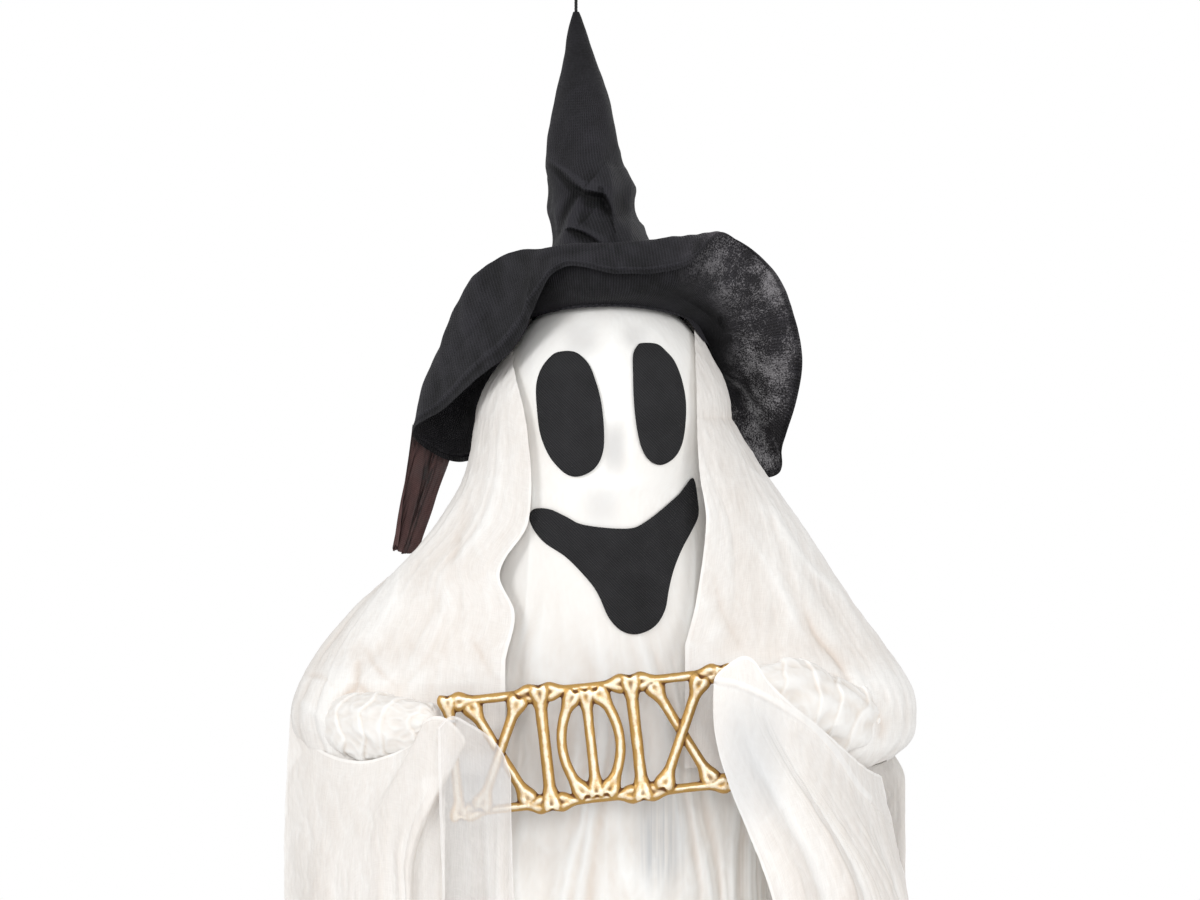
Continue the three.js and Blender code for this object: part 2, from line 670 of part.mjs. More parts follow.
const capeRound = byHeight([
  [HEAD_MID_Z - 44, 2], [SHOULDER_Z - 32, 1.6], [SHOULDER_Z - 84, 1.7], [ELBOW_Z + 30, 2.3],
]);
const seamHeight = (y) => HEAD_MID_Z + HEAD_UPPER - SEAM_DROP - SEAM_TILT * y;

function capePoint(side, u, v) {
  const grow = layer(2) + CAPE_EASE;
  const top = seamHeight(lerp(-HALF_DEPTH * 0.25, HALF_DEPTH * 0.9, ramp(0, 1, u))) + CAPE_TUCK;
  const front = ELBOW_Z + 50;
  const back = ELBOW_Z - 36;
  const z = lerp(top, lerp(front, back, ramp(0.25, 0.65, u)), v ** 1.25);
  const ring = domeRing(z, grow);
  const settle = ramp(HEAD_MID_Z + 50, HEAD_MID_Z, z);
  const above = z > HEAD_MID_Z;
  const middle = middleAt(z);
  const fromMiddle = (x) => x - outwards(side) * middle;
  const half = lerp(ring.a, fromMiddle(capeHalf[side](z)), settle);
  const flat = capeRound(z);
  const edge = Math.acos(Math.min(1, fromMiddle(capeEdge[side](z)) / half) ** (flat / 2));
  const turn = lerp(edge, -Math.PI / 2 + 0.012, u);
  const deep = turn > 0
    ? (above ? ring.b : robeFront(z) + layer(2) - layer(1) + CAPE_EASE)
    : (above ? ring.b : robeBack(z) + layer(2) - layer(1) + CAPE_EASE) + 4 * settle;
  const room = ROBE_FOLD * ramp(CHIN_Z + 6, ELBOW_Z - 60, z);
  const phase = side === 'left' ? 0 : 2;
  const fold = 2.6 * ramp(HEAD_MID_Z, SHOULDER_Z, z) * Math.cos(9 * turn + phase);
  return vec(
    middle + outwards(side) * (half + fold) * power(Math.cos(turn), 2 / flat),
    -(deep + room + Math.abs(fold)) * power(Math.sin(turn), 2 / flat),
    z,
  );
}

const cape = (side) => sheet((u, v) => capePoint(side, u, v), 14, 10);

// Sleeves: gauze that falls from the arms to the hem

/** A fall of gauze from its top edge to a torn hem over a plan line, with folds that open downwards. */
function fall(topEdge, hemLine, phase, folds, depth = 6) {
  const hem = smooth(hemLine.map(([x, y]) => vec(x, y, 0)));
  return (u, v) => {
    const top = topEdge(u);
    const end = hem.getPoint(u);
    const across = hem.getTangent(u);
    const spread = ramp(0, 0.5, v);
    const wave = depth * ramp(0.02, 0.35, v) * Math.sin(Math.PI * folds * u + phase) * Math.sin(Math.PI * u);
    return vec(
      lerp(top.x, end.x, spread) - across.y * wave,
      lerp(top.y, end.y, spread) + across.x * wave,
      lerp(top.z, hemAt(u, phase), v),
    );
  };
}

/** A place just outside a forearm: t from the elbow, with a drop below its centre line. */
function outsideForearm(side, t, drop) {
  const curve = forearmCurve(side);
  const along = curve.getTangentAt(t);
  const away = vec(-along.y, along.x, 0).normalize().multiplyScalar(outwards(side));
  const reach = forearmRadius(t) + CLOTH / 2 + FIT;
  return curve.getPointAt(t).addScaledVector(away, reach).add(vec(0, 0, -drop));
}

/** A place just under a limb's centre line. */
const under = (point, radius) => point.clone().add(vec(0, 0, -radius - FIT));

const SLEEVE_SEAM_Y = -2;
const outer = cover + 8;
const inner = ROBE_HEM_HALF + 8;

/** The left sleeve hangs from the forearm's underside, nearly from elbow to wrist. */
const sleeveLeft = fall(
  (u) => under(forearmCurve('left').getPointAt(lerp(0.02, 0.96, u)), forearmRadius(u)),
  [[-outer, SLEEVE_SEAM_Y], [14 - outer, -34], [50 - outer, -66], [76 - outer, -84], [-inner - 4, -90]],
  0.6, 5);

/** The right sleeve's bell cuff hangs ahead of the wrist, and its top edge slopes down to the elbow. */
const sleeveRight = fall(
  (u) => {
    const [cuff, inwards, ahead, slope] = [0.12, 18, 17, 75];
    const wrap = clamp01((cuff - u) / cuff);
    const along = 0.9 * (1 - clamp01((u - cuff) / (1 - cuff)));
    const p = outsideForearm('right', along, slope * u ** 2.2);
    return vec(p.x - inwards * wrap, lerp(p.y, -(SIGN_FORWARD + ahead), wrap), p.z);
  },
  [[inner, -130], [outer - 78, -118], [outer - 48, -92], [outer - 22, -56], [outer - 6, -24],
    [outer, SLEEVE_SEAM_Y]], 2.4, 7);

/** A back fall hangs from the underside of an upper arm. */
function backFall(side, phase) {
  const way = outwards(side);
  const [shoulder, elbow] = [SHOULDERS[side], ELBOWS[side]];
  const run = shoulder.distanceTo(elbow) / Math.abs(elbow.x - shoulder.x);
  const topEdge = (u) => {
    const t = lerp(0.8, 0.3, u);
    const p = shoulder.clone().lerp(elbow, t);
    const behind = 6;
    const drop = Math.sqrt(upperArmRadius(t) ** 2 - (behind - CLOTH / 2) ** 2);
    return under(p, drop * run).add(vec(0, behind, 0));
  };
  const seamY = SLEEVE_SEAM_Y + CLOTH / 2 + FIT;
  const hemLine = [[outer, seamY], [outer - 28, 28], [outer - 66, 34], [inner + 2, 30]];
  return fall(topEdge, hemLine.map(([x, y]) => [way * x, y]), phase, 4);
}

/** A sheer strip that hangs from the left wrist in front of the sign's end. */
const cuffVeil = fall(
  (u) => {
    const [wrist, inwards, ahead, sag] = [0.25, 46, 24, 52];
    const start = outsideForearm('left', lerp(0.88, 1, clamp01(u / wrist)), 0);
    const end = vec(RINGS.left.x + inwards, -(SIGN_FORWARD + ahead), start.z);
    return start.lerp(end, clamp01((u - wrist) / (1 - wrist))).add(vec(0, 0, -sag * ramp(0.3, 1, u)));
  },
  [[6 - inner, -126], [30 - inner, -135], [52 - inner, -137], [72 - inner, -135]], 4.2, 3, 3);

// The hat

const seamGrow = layer(2) + CAPE_EASE + SEAM_EASE;

/** The hat's opening: where a tilted plane meets the clothed dome of the head. */
function seamPoint(turn) {
  const [a, b, h] = [HALF_WIDTH, HALF_DEPTH, HEAD_UPPER].map((size) => size + seamGrow);
  const [c, s] = [Math.cos(turn), Math.sin(turn)];
  const lift = HEAD_UPPER - SEAM_DROP;
  const qa = (c / a) ** 2 + (s / b) ** 2 + ((SEAM_TILT * s) / h) ** 2;
  const qb = (-2 * lift * SEAM_TILT * s) / (h * h);
  const qc = (lift / h) ** 2 - 1;
  const reach = (-qb + Math.sqrt(qb * qb - 4 * qa * qc)) / (2 * qa);
  return vec(HEAD_SHIFT + reach * c, reach * s, seamHeight(reach * s));
}

// Level rings of the crumpled cone: share of the hat's rise below the tip, middle x, half width, half depth
const CONE_RINGS = [
  [0, -20, 3, 3], [0.16, -17.5, 11.5, 10], [0.295, -15.5, 19.5, 17], [0.377, -14.5, 23, 22],
  [0.469, -14, 26.5, 25], [0.546, -13.5, 29.5, 27], [0.609, -10, 32.5, 31], [0.725, -9.5, 33, 37],
  [0.86, 0, 39.5, 48], [0.966, 3, 49, 56],
];

/** Creases of the collapsed cone: wide pleats that turn on their way down. */
function coneFold(turn, share) {
  const depth = 2.6 * ramp(0.24, 0.58, share) * (1 - 0.5 * ramp(0.82, 1, share));
  return depth * (Math.cos(3 * turn + 7.2 * share) + 0.5 * Math.cos(5 * turn - 10 * share));
}

function coneRing([share, x, half, deep], turn) {
  const fold = coneFold(turn, share);
  const back = 5 * ramp(0.3, 0.97, share);
  return vec(
    x + (half + fold) * Math.cos(turn),
    back + (deep + fold) * Math.sin(turn),
    TIP_Z - share * HAT_RISE,
  );
}

function conePoint(u, v) {
  const turn = 2 * Math.PI * u;
  const level = v * CONE_RINGS.length;
  const index = Math.min(CONE_RINGS.length - 1, Math.floor(level));
  const below = index + 1 < CONE_RINGS.length ? coneRing(CONE_RINGS[index + 1], turn) : seamPoint(turn);
  return coneRing(CONE_RINGS[index], turn).lerp(below, level - index);
}

const hatCone = () => sheet(conePoint, 22, CONE_RINGS.length, [-CLOTH / 2, CLOTH / 2], true);

// Ribs of the folded brim: degrees round the seam, then reach, sideways lean and rise from the
// seam at the brim's middle, at its fold and at its hem
const BRIM_RIBS = [
  [-90, [15, 2, 10], [17, 4, 45], [27, 8, 22]],
  [-60, [16, 5, 14], [18, 9, 50], [33, 7, 29]],
  [-40, [21, 5, 23], [24, 19, 55], [30, 19, 58]],
  [-20, [25, 9, 12], [45, 13, 32], [55, 20, 40]],
  [0, [25, 2, 0], [49, -4, 10], [68, 0, 15]],
  [20, [27, -9, -14], [46, -27, -21], [68, -35, -22]],
  [40, [29, -22, -26], [40, -41, -52], [49, -54, -69]],
  [60, [28, -31, -24], [32, -54, -66], [30, -71, -93]],
  [90, [12, -6, -14], [30, -10, -44], [38, -14, -70]],
  [120, [26, -5, -16], [43, -3, -46], [54, 4, -72]],
  [145, [38, 1, -18], [49, 13, -52], [43, 29, -88]],
  [165, [30, -4, -8], [63, 22, -44], [67, 44, -74]],
  [180, [23, -4, 5], [55, 6, -11], [53, 34, -59]],
  [200, [17, -7, 15], [38, -19, 25], [35, 23, -37]],
  [220, [13, -2, 20], [15, -22, 44], [26, 14, -13]],
  [240, [16, 8, 14], [17, 2, 44], [27, 8, 28]],
];

/** A rib's point at its reach, lean and rise from the seam. */
function ribPoint(degrees, [reach, lean, rise]) {
  const turn = THREE.MathUtils.degToRad(degrees);
  const [c, s] = [Math.cos(turn), Math.sin(turn)];
  return seamPoint(turn).add(vec(reach * c - lean * s, reach * s + lean * c, rise));
}

const brimLoops = [1, 2, 3].map((k) => smooth(BRIM_RIBS.map((rib) => ribPoint(rib[0], rib[k])), true));
const brimSeam = smooth(BRIM_RIBS.map(([degrees]) => ribPoint(degrees, [CLOTH + 4 * FIT, 0, 0])), true);

/** A point of the brim: u round the head, v from the seam to the hem. */
const brimPoint = (u, v) =>
  smooth([brimSeam, ...brimLoops].map((loop) => loop.getPoint(u))).getPoint(v);

const hatBrim = () => sheet(brimPoint, 32, 6, [-CLOTH / 2, CLOTH / 2], true);

/** The brown gauze strip sewn to the brim's hem beside the face. */
function gauzeTail() {
  const rib = (degrees) => BRIM_RIBS.findIndex(([at]) => at === degrees) / BRIM_RIBS.length;
  const [back, front] = [rib(145), rib(165)];
  const surface = (u, v) => {
    const hem = brimPoint(lerp(front, back, u), 1);
    const down = hem.clone().sub(brimPoint(lerp(front, back, u), 0.97)).normalize();
    const top = hem.addScaledVector(down, 0.6 * CLOTH + FIT);
    const drift = vec(-12 - 14 * u, 14 - 26 * u, -TAIL_LENGTH + 14 * u);
    const curl = 5 * Math.sin(2 * Math.PI * u) * v;
    return top.addScaledVector(drift, v).add(vec(-Math.abs(curl), curl, 0));
  };
  return sheet(surface, 8, 8);
}

// The hanger

/** The washer inside the crown that the figure's weight rests on. */
const ANCHOR = { radius: 9, thickness: 2, drop: SHELL_WALL + 1.8 };

function cordAnchor() {
  const top = CROWN_Z - ANCHOR.drop;
  const hole = CORD_DIAMETER / 2 + FIT;
  return turned([
    [hole, top - ANCHOR.thickness], [ANCHOR.radius, top - ANCHOR.thickness], [ANCHOR.radius, top],
    [hole, top], [hole, top - ANCHOR.thickness],
  ], 14).translate(HEAD_SHIFT, 0, 0);
}

/** The cord inside the hat, from a knot under the washer up to the hat's tip. */
function hatCord() {
  const knotZ = CROWN_Z - ANCHOR.drop - ANCHOR.thickness - FIT - KNOT_RADIUS;
  const path = smooth([
    vec(HEAD_SHIFT, 0, knotZ), vec(HEAD_SHIFT, 0, knotZ + 24), vec(-12, 1, TIP_Z - 80),
    vec(-BODY_SHIFT, 0, TIP_Z - 16), vec(-BODY_SHIFT, 0, TIP_Z - FIT),
  ]);
  const knot = new THREE.SphereGeometry(KNOT_RADIUS, 8, 6).translate(HEAD_SHIFT, 0, knotZ);
  return join([rod(path, CORD_DIAMETER / 2, 8, 16), knot]);
}

const hangingCord = () => rod(
  line(vec(-BODY_SHIFT, 0, TIP_Z), vec(-BODY_SHIFT, 0, KNOT_Z - KNOT_RADIUS - FIT)),
  CORD_DIAMETER / 2, 8, 6);

/** A tied loop: a teardrop of cord that closes in its knot. */
function hangingLoop() {
  const top = CORD_DIAMETER / 2;
  const flank = (way) => [[0.15, 0.04], [0.8, 0.45], [1, 0.75], [0.6, 0.96]].map(([out, up]) =>
    vec(way * out * LOOP_HALF_WIDTH, 0, lerp(KNOT_Z, top, up)));
  const path = smooth([...flank(-1), vec(0, 0, top), ...flank(1).reverse()]);
  const knot = new THREE.SphereGeometry(KNOT_RADIUS, 8, 6).translate(0, 0, KNOT_Z);
  return join([rod(path, CORD_DIAMETER / 2, 8, 20), knot]).translate(-BODY_SHIFT, 0, 0);
}

// The battery box, hung under the wire clamp with its door behind

const BAY_HALF = CELL_COUNT * CELL_RADIUS + ((CELL_COUNT + 1) * FIT) / 2;
const BAY_DEPTH = 2 * CELL_RADIUS + 2 * FIT;
const BAY_TOP = CASE_TOP - CASE_WALL;
const BAY_FRONT = -BAY_DEPTH / 2;
const bayLow = [HEAD_SHIFT - BAY_HALF, BAY_FRONT, BAY_TOP - CELL_LENGTH - 2 * CONTACT_LENGTH];
const bayHigh = [HEAD_SHIFT + BAY_HALF, BAY_FRONT + BAY_DEPTH, BAY_TOP];
const DOOR_Y = bayHigh[1] + FIT;
const CASE_BACK = DOOR_Y + DOOR_THICKNESS + FIT + CASE_WALL * 0.6;
const SWITCH_X = bayHigh[0] + DOOR_LIP + CASE_WALL;
const SWITCH_Z = BAY_TOP - 16;
const PAST = 20;

function batteryCase() {
  const shell = box(
    [bayLow[0] - DOOR_LIP - CASE_WALL, bayLow[1] - CASE_WALL, bayLow[2] - CASE_WALL],
    [SWITCH_X + SWITCH_DEPTH + CASE_WALL, CASE_BACK, CASE_TOP]);
  const bay = box(bayLow, [bayHigh[0], DOOR_Y, bayHigh[2]]);
  const opening = box(
    [bayLow[0], DOOR_Y - FIT, bayLow[2] - PAST], [bayHigh[0], CASE_BACK + PAST, BAY_TOP - 4]);
  const track = box([bayLow[0] - DOOR_LIP, DOOR_Y - FIT, bayLow[2] - PAST],
    [bayHigh[0] + DOOR_LIP, DOOR_Y + DOOR_THICKNESS + FIT, BAY_TOP]);
  const switchBay = box([SWITCH_X, -6, SWITCH_Z - 12], [SWITCH_X + SWITCH_DEPTH, 6, SWITCH_Z + 8]);
  const knobSlot = box(
    [SWITCH_X + SWITCH_DEPTH - 1, -KNOB_WIDTH / 2 - FIT, SWITCH_Z - KNOB_HEIGHT / 2 - SWITCH_TRAVEL - FIT],
    [SWITCH_X + SWITCH_DEPTH + PAST, KNOB_WIDTH / 2 + FIT, SWITCH_Z + KNOB_HEIGHT / 2 + FIT]);
  return cut(shell, [bay, opening, track, switchBay, knobSlot, leadHole(CASE_TOP, BAY_TOP)]);
}

/** The sliding door, with a ribbed thumb grip near its lower edge. */
function batteryDoor() {
  const play = DOOR_LIP - FIT;
  const back = DOOR_Y + DOOR_THICKNESS;
  const plate = box(
    [bayLow[0] - play, DOOR_Y, bayLow[2] - CASE_WALL], [bayHigh[0] + play, back, BAY_TOP - FIT]);
  const ribs = range(4).map((i) => {
    const z = bayLow[2] + 6 + 3 * i;
    return box([HEAD_SHIFT - 9, back - 0.4, z], [HEAD_SHIFT + 9, back + 0.8, z + 1.2]);
  });
  return join([plate, ...ribs]);
}

const cellX = (index) => bayLow[0] + FIT + CELL_RADIUS + index * (2 * CELL_RADIUS + FIT);

function cell(index) {
  const foot = bayLow[2] + CONTACT_LENGTH;
  const top = foot + CELL_LENGTH;
  const nub = 1.4;
  return turned([
    [0, foot], [CELL_RADIUS, foot], [CELL_RADIUS, top - nub], [2.6, top - nub], [2.6, top], [0, top],
  ], 12).translate(cellX(index), 0, 0);
}

/** The bright contact strip above the cells, with a dimple for each. */
function contactStrip() {
  const top = BAY_TOP - FIT;
  const low = BAY_TOP - CONTACT_LENGTH + FIT;
  const strip = box([cellX(0) - 5, -5, top - 0.8], [cellX(CELL_COUNT - 1) + 5, 5, top]);
  const dimples = range(CELL_COUNT).map((i) => box([cellX(i) - 2, -2, low], [cellX(i) + 2, 2, top - 0.4]));
  return join([strip, ...dimples]);
}

/** The lower contact strip, with a tapered coil spring under each cell. */
function springStrip() {
  const foot = bayLow[2] + FIT;
  const head = bayLow[2] + CONTACT_LENGTH - FIT;
  const coils = 2;
  const wide = (t) => lerp(5, 3.2, t);
  const profile = [[0, foot], [wide(0), foot]];
  for (let i = 0; i < coils; i++) {
    const [waist, crest] = [(i + 0.5) / coils, (i + 1) / coils];
    profile.push([wide(waist) - 1.2, lerp(foot, head, waist)], [wide(crest), lerp(foot, head, crest)]);
  }
  profile.push([0, head]);
  const strip = box([cellX(0) - 5, -5, foot], [cellX(CELL_COUNT - 1) + 5, 5, foot + 0.6]);
  return join([strip, ...range(CELL_COUNT).map((i) => turned(profile, 8).translate(cellX(i), 0, 0))]);
}

/** The switch's sliding knob and its base, which runs behind the case wall. */
function switchKnob() {
  const face = SWITCH_X + SWITCH_DEPTH;
  const flange = 1;
  const base = box(
    [face - 3, -KNOB_WIDTH / 2 - 1.4, SWITCH_Z - KNOB_HEIGHT / 2 - flange],
    [face - FIT, KNOB_WIDTH / 2 + 1.4, SWITCH_Z + KNOB_HEIGHT / 2 + flange]);
  const knob = box([face - 1, -KNOB_WIDTH / 2, SWITCH_Z - KNOB_HEIGHT / 2],
    [face + CASE_WALL + KNOB_REACH, KNOB_WIDTH / 2, SWITCH_Z + KNOB_HEIGHT / 2]);
  return join([base, knob]);
}

const switchBody = () => box([SWITCH_X + FIT, -5.7, SWITCH_Z - 11.7],
  [SWITCH_X + SWITCH_DEPTH - 3 - FIT, 5.7, SWITCH_Z + 7.7]);

// The sign: a trellis of cast bones

/** A bone along a level curve: a waisted shaft that spreads into a pair of knuckles at each end. */
function bone(curve, girth, rings, sides = 6) {
  const length = curve.getLength();
  const knuckle = girth * KNUCKLE_RADIUS;
  const ends = [[-0.75, 0.62], [-0.2, 1], [0.9, 0.8], [2.2, 0]]
    .map(([reach, swell]) => [reach * knuckle, swell]);
  const stations = [
    ...ends,
    ...range(rings).map((i) => [lerp(0, length, (i + 1) / (rings + 1)), 0]),
    ...ends.map(([reach, swell]) => [length - reach, swell]).reverse(),
  ];
  const rows = stations.map(([distance, swell]) => {
    const t = clamp01(distance / length);
    const along = curve.getTangentAt(t);
    const middle = curve.getPointAt(t).addScaledVector(along, distance - t * length);
    const across = vec(along.z, 0, -along.x);
    return range(sides).map((i) => {
      const turn = (2 * Math.PI * i) / sides;
      const lobe = Math.abs(Math.cos(turn));
      const wide = lerp(girth * boneRadius(t), knuckle * lerp(0.9, 1.7, lobe), swell);
      const inwards = Math.sign(length / 2 - distance);
      const notch = distance < 0 || distance > length ? inwards * (1 - lobe) * 0.5 * knuckle : 0;
      return middle.clone()
        .addScaledVector(across, wide * Math.cos(turn))
        .addScaledVector(along, notch)
        .add(vec(0, wide * Math.sin(turn), 0));
    });
  });
  const cap = (row) => {
    const centre = row.reduce((sum, p) => sum.add(p), vec(0, 0, 0)).divideScalar(sides);
    return row.map(() => centre);
  };
  return closed(skin([cap(rows[0]), ...rows, cap(rows[rows.length - 1])], true));
}

const straight = (x0, z0, x1, z1, y = 0) => line(vec(x0, y, z0), vec(x1, y, z1));

/** Four posts with a rail above and below, crossed braces in the outer bays and two bows in the middle. */
function boneSign() {
  const half = SIGN_SPAN / 2;
  const top = SIGN_HEIGHT / 2;
  const bays = 3;
  const bay = SIGN_SPAN / bays;
  const rail = 0.74;
  const brace = 0.8;
  const bowEnd = 9;
  const posts = range(bays + 1).map((i) => -half + i * bay);
  const pieces = posts.map((x) => bone(straight(x, -top, x, top), 1, 1, 8));
  const railInset = KNUCKLE_RADIUS + 1.5;
  const braceInset = 3 * KNUCKLE_RADIUS;
  const braceTop = top - 2 - rail * BONE_RADIUS - 1.5;
  for (let i = 0; i < bays; i++) {
    const [x0, x1] = [posts[i], posts[i + 1]];
    for (const z of [top - 2, 2 - top]) {
      pieces.push(bone(straight(x0 + railInset, z, x1 - railInset, z), rail, 1));
    }
    if (i === 1) {
      const bow = (way) => new THREE.QuadraticBezierCurve3(
        vec(way * bowEnd, 0, braceTop), vec((way * bay) / 2, 0, 0), vec(way * bowEnd, 0, -braceTop));
      pieces.push(bone(bow(-1), brace, 3), bone(bow(1), brace, 3));
      pieces.push(bone(straight(0, -braceTop, 0, braceTop), brace, 1));
    } else {
      pieces.push(bone(straight(x0 + braceInset, -braceTop, x1 - braceInset, braceTop, -1), brace, 1));
      pieces.push(bone(straight(x0 + braceInset, braceTop, x1 - braceInset, -braceTop, 1), brace, 1));
    }
  }
  return join(pieces);
}

// Assembly

const root = new THREE.Group();
root.position.x = BODY_SHIFT;

function add(name, geometry, material, parent = root) {
  const mesh = new THREE.Mesh(closed(geometry), material);
  mesh.name = name;
  parent.add(mesh);
}

add('hanging_loop', hangingLoop(), CORD_BLACK);
add('hanging_cord', hangingCord(), CORD_BLACK);
add('hat_cord', hatCord(), CORD_BLACK);
add('cord_anchor', cordAnchor(), CASE_WHITE);
add('hat_cone', hatCone(), HAT_BLACK);
add('hat_brim', hatBrim(), HAT_BLACK);
add('gauze_tail', gauzeTail(), GAUZE_BROWN);

add('head_front', headShell(true), SHELL_WHITE);
add('head_rear', headShell(false), SHELL_WHITE);
add('neck_plug', neckPlug(), CASE_WHITE);
add('lamp_post', lampPost(), CASE_WHITE);
add('lamp_board', lampBoard(), BOARD_GREEN);
range(LAMP_COUNT).forEach((i) => add(`lamp_${i + 1}`, lamp(i), LAMP_CLEAR));
add('lamp_lead', lead(BOARD_Z - FIT, BAY_TOP, LEAD_RADIUS, 8), LEAD_RED);

add('wire_clamp', wireClamp(), CASE_WHITE);
add('shoulder_wire', rod(shoulderWire, WIRE_RADIUS, 8, SHOULDER_WIRE_STEPS), STEEL);
add('battery_case', batteryCase(), CASE_WHITE);
add('battery_door', batteryDoor(), CASE_WHITE);
range(CELL_COUNT).forEach((i) => add(`battery_cell_${i + 1}`, cell(i), CELL_GREY));
add('contact_strip', contactStrip(), STEEL);
add('spring_strip', springStrip(), STEEL);
add('switch_knob', switchKnob(), SWITCH_BLACK);
add('switch_body', switchBody(), STEEL);

add('robe_front', robePanel(true), CLOTH_WHITE);
add('robe_back', robePanel(false), CLOTH_WHITE);
add('eye_left', eyeLeft(), FELT_BLACK);
add('eye_right', eyeRight(), FELT_BLACK);
add('mouth', mouth(), FELT_BLACK);

for (const side of ['left', 'right']) {
  add(`upper_arm_${side}`, upperArm(side), PADDING_WHITE);
  add(`forearm_${side}`, forearm(side), PADDING_WHITE);
  add(`forearm_wire_${side}`, rod(forearmWirePath(side), WIRE_RADIUS, 8, FOREARM_WIRE_STEPS), STEEL);
  add(`wrist_ring_${side}`, wristRing(side), STEEL);
  add(`cape_${side}`, cape(side), GAUZE_WHITE);
  add(`sleeve_${side}`, sheet(side === 'left' ? sleeveLeft : sleeveRight, 12, 8), GAUZE_WHITE);
  add(`sleeve_back_${side}`, sheet(backFall(side, side === 'left' ? 1.3 : 3.3), 8, 6), GAUZE_WHITE);
}
add('cuff_veil', sheet(cuffVeil, 7, 7), GAUZE_WHITE);

const sign = new THREE.Group();
sign.position.set(SIGN_SHIFT, -SIGN_FORWARD, SIGN_Z);
sign.rotation.y = -signTurn;
root.add(sign);
add('bone_sign', boneSign(), BONE_GOLD, sign);

export default root;
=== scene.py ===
"""A hanging ghost of white gauze in a crumpled witch's hat, holding a trellis of gilt bones."""
import itertools
import math

import bpy
import numpy as np
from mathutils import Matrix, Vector
from mathutils.bvhtree import BVHTree


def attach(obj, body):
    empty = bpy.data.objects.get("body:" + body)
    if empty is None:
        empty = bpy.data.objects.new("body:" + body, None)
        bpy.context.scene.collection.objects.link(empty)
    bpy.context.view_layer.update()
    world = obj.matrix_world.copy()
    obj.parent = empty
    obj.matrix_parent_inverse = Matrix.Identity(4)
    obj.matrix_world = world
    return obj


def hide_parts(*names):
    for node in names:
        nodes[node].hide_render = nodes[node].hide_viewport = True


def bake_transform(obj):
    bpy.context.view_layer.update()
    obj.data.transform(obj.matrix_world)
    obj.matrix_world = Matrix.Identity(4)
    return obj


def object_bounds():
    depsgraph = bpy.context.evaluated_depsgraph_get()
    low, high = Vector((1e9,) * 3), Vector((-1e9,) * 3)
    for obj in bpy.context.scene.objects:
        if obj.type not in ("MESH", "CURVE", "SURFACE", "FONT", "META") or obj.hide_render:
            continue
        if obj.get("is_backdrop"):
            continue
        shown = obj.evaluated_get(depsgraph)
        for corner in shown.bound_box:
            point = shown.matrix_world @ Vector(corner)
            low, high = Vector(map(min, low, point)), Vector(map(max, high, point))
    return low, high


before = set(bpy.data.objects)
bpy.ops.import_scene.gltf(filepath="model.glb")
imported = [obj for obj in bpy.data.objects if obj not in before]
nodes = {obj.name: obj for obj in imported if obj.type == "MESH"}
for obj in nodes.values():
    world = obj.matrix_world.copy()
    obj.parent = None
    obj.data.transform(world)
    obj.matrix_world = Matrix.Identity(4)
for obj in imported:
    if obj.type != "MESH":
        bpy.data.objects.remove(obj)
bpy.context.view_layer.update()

# Lengths are in millimetres and meshes in metres. Heights are below zero, counted from the loop.
MM = 0.001

# The set: a pale floor below the hanging figure, plain soft light, and the photograph's camera.
PIXEL = 0.75
CAMERA_AT = (18.0, -3000.0, -408.5)
FRAME_MIDDLE = (600.0, 450.0)
FLOOR_Z = -1.06
AMBIENT = 0.5


class Field:
    """A value that varies over a surface. Arithmetic on it adds the Math nodes that work it out."""

    def __init__(self, finish, socket):
        self.finish, self.socket = finish, socket

    def maths(self, operation, *others):
        inputs = dict(enumerate((self, *others)))
        return self.finish.node("ShaderNodeMath", {"operation": operation}, inputs)

    def __add__(self, other):
        return self.maths("ADD", other)

    def __mul__(self, other):
        return self.maths("MULTIPLY", other)

    def __sub__(self, other):
        return self.maths("SUBTRACT", other)

    def __rsub__(self, other):
        return self.finish.node("ShaderNodeMath", {"operation": "SUBTRACT"}, {0: other, 1: self})

    __radd__ = __add__
    __rmul__ = __mul__

    def clipped(self):
        return self.maths("MAXIMUM", 0.0).maths("MINIMUM", 1.0)


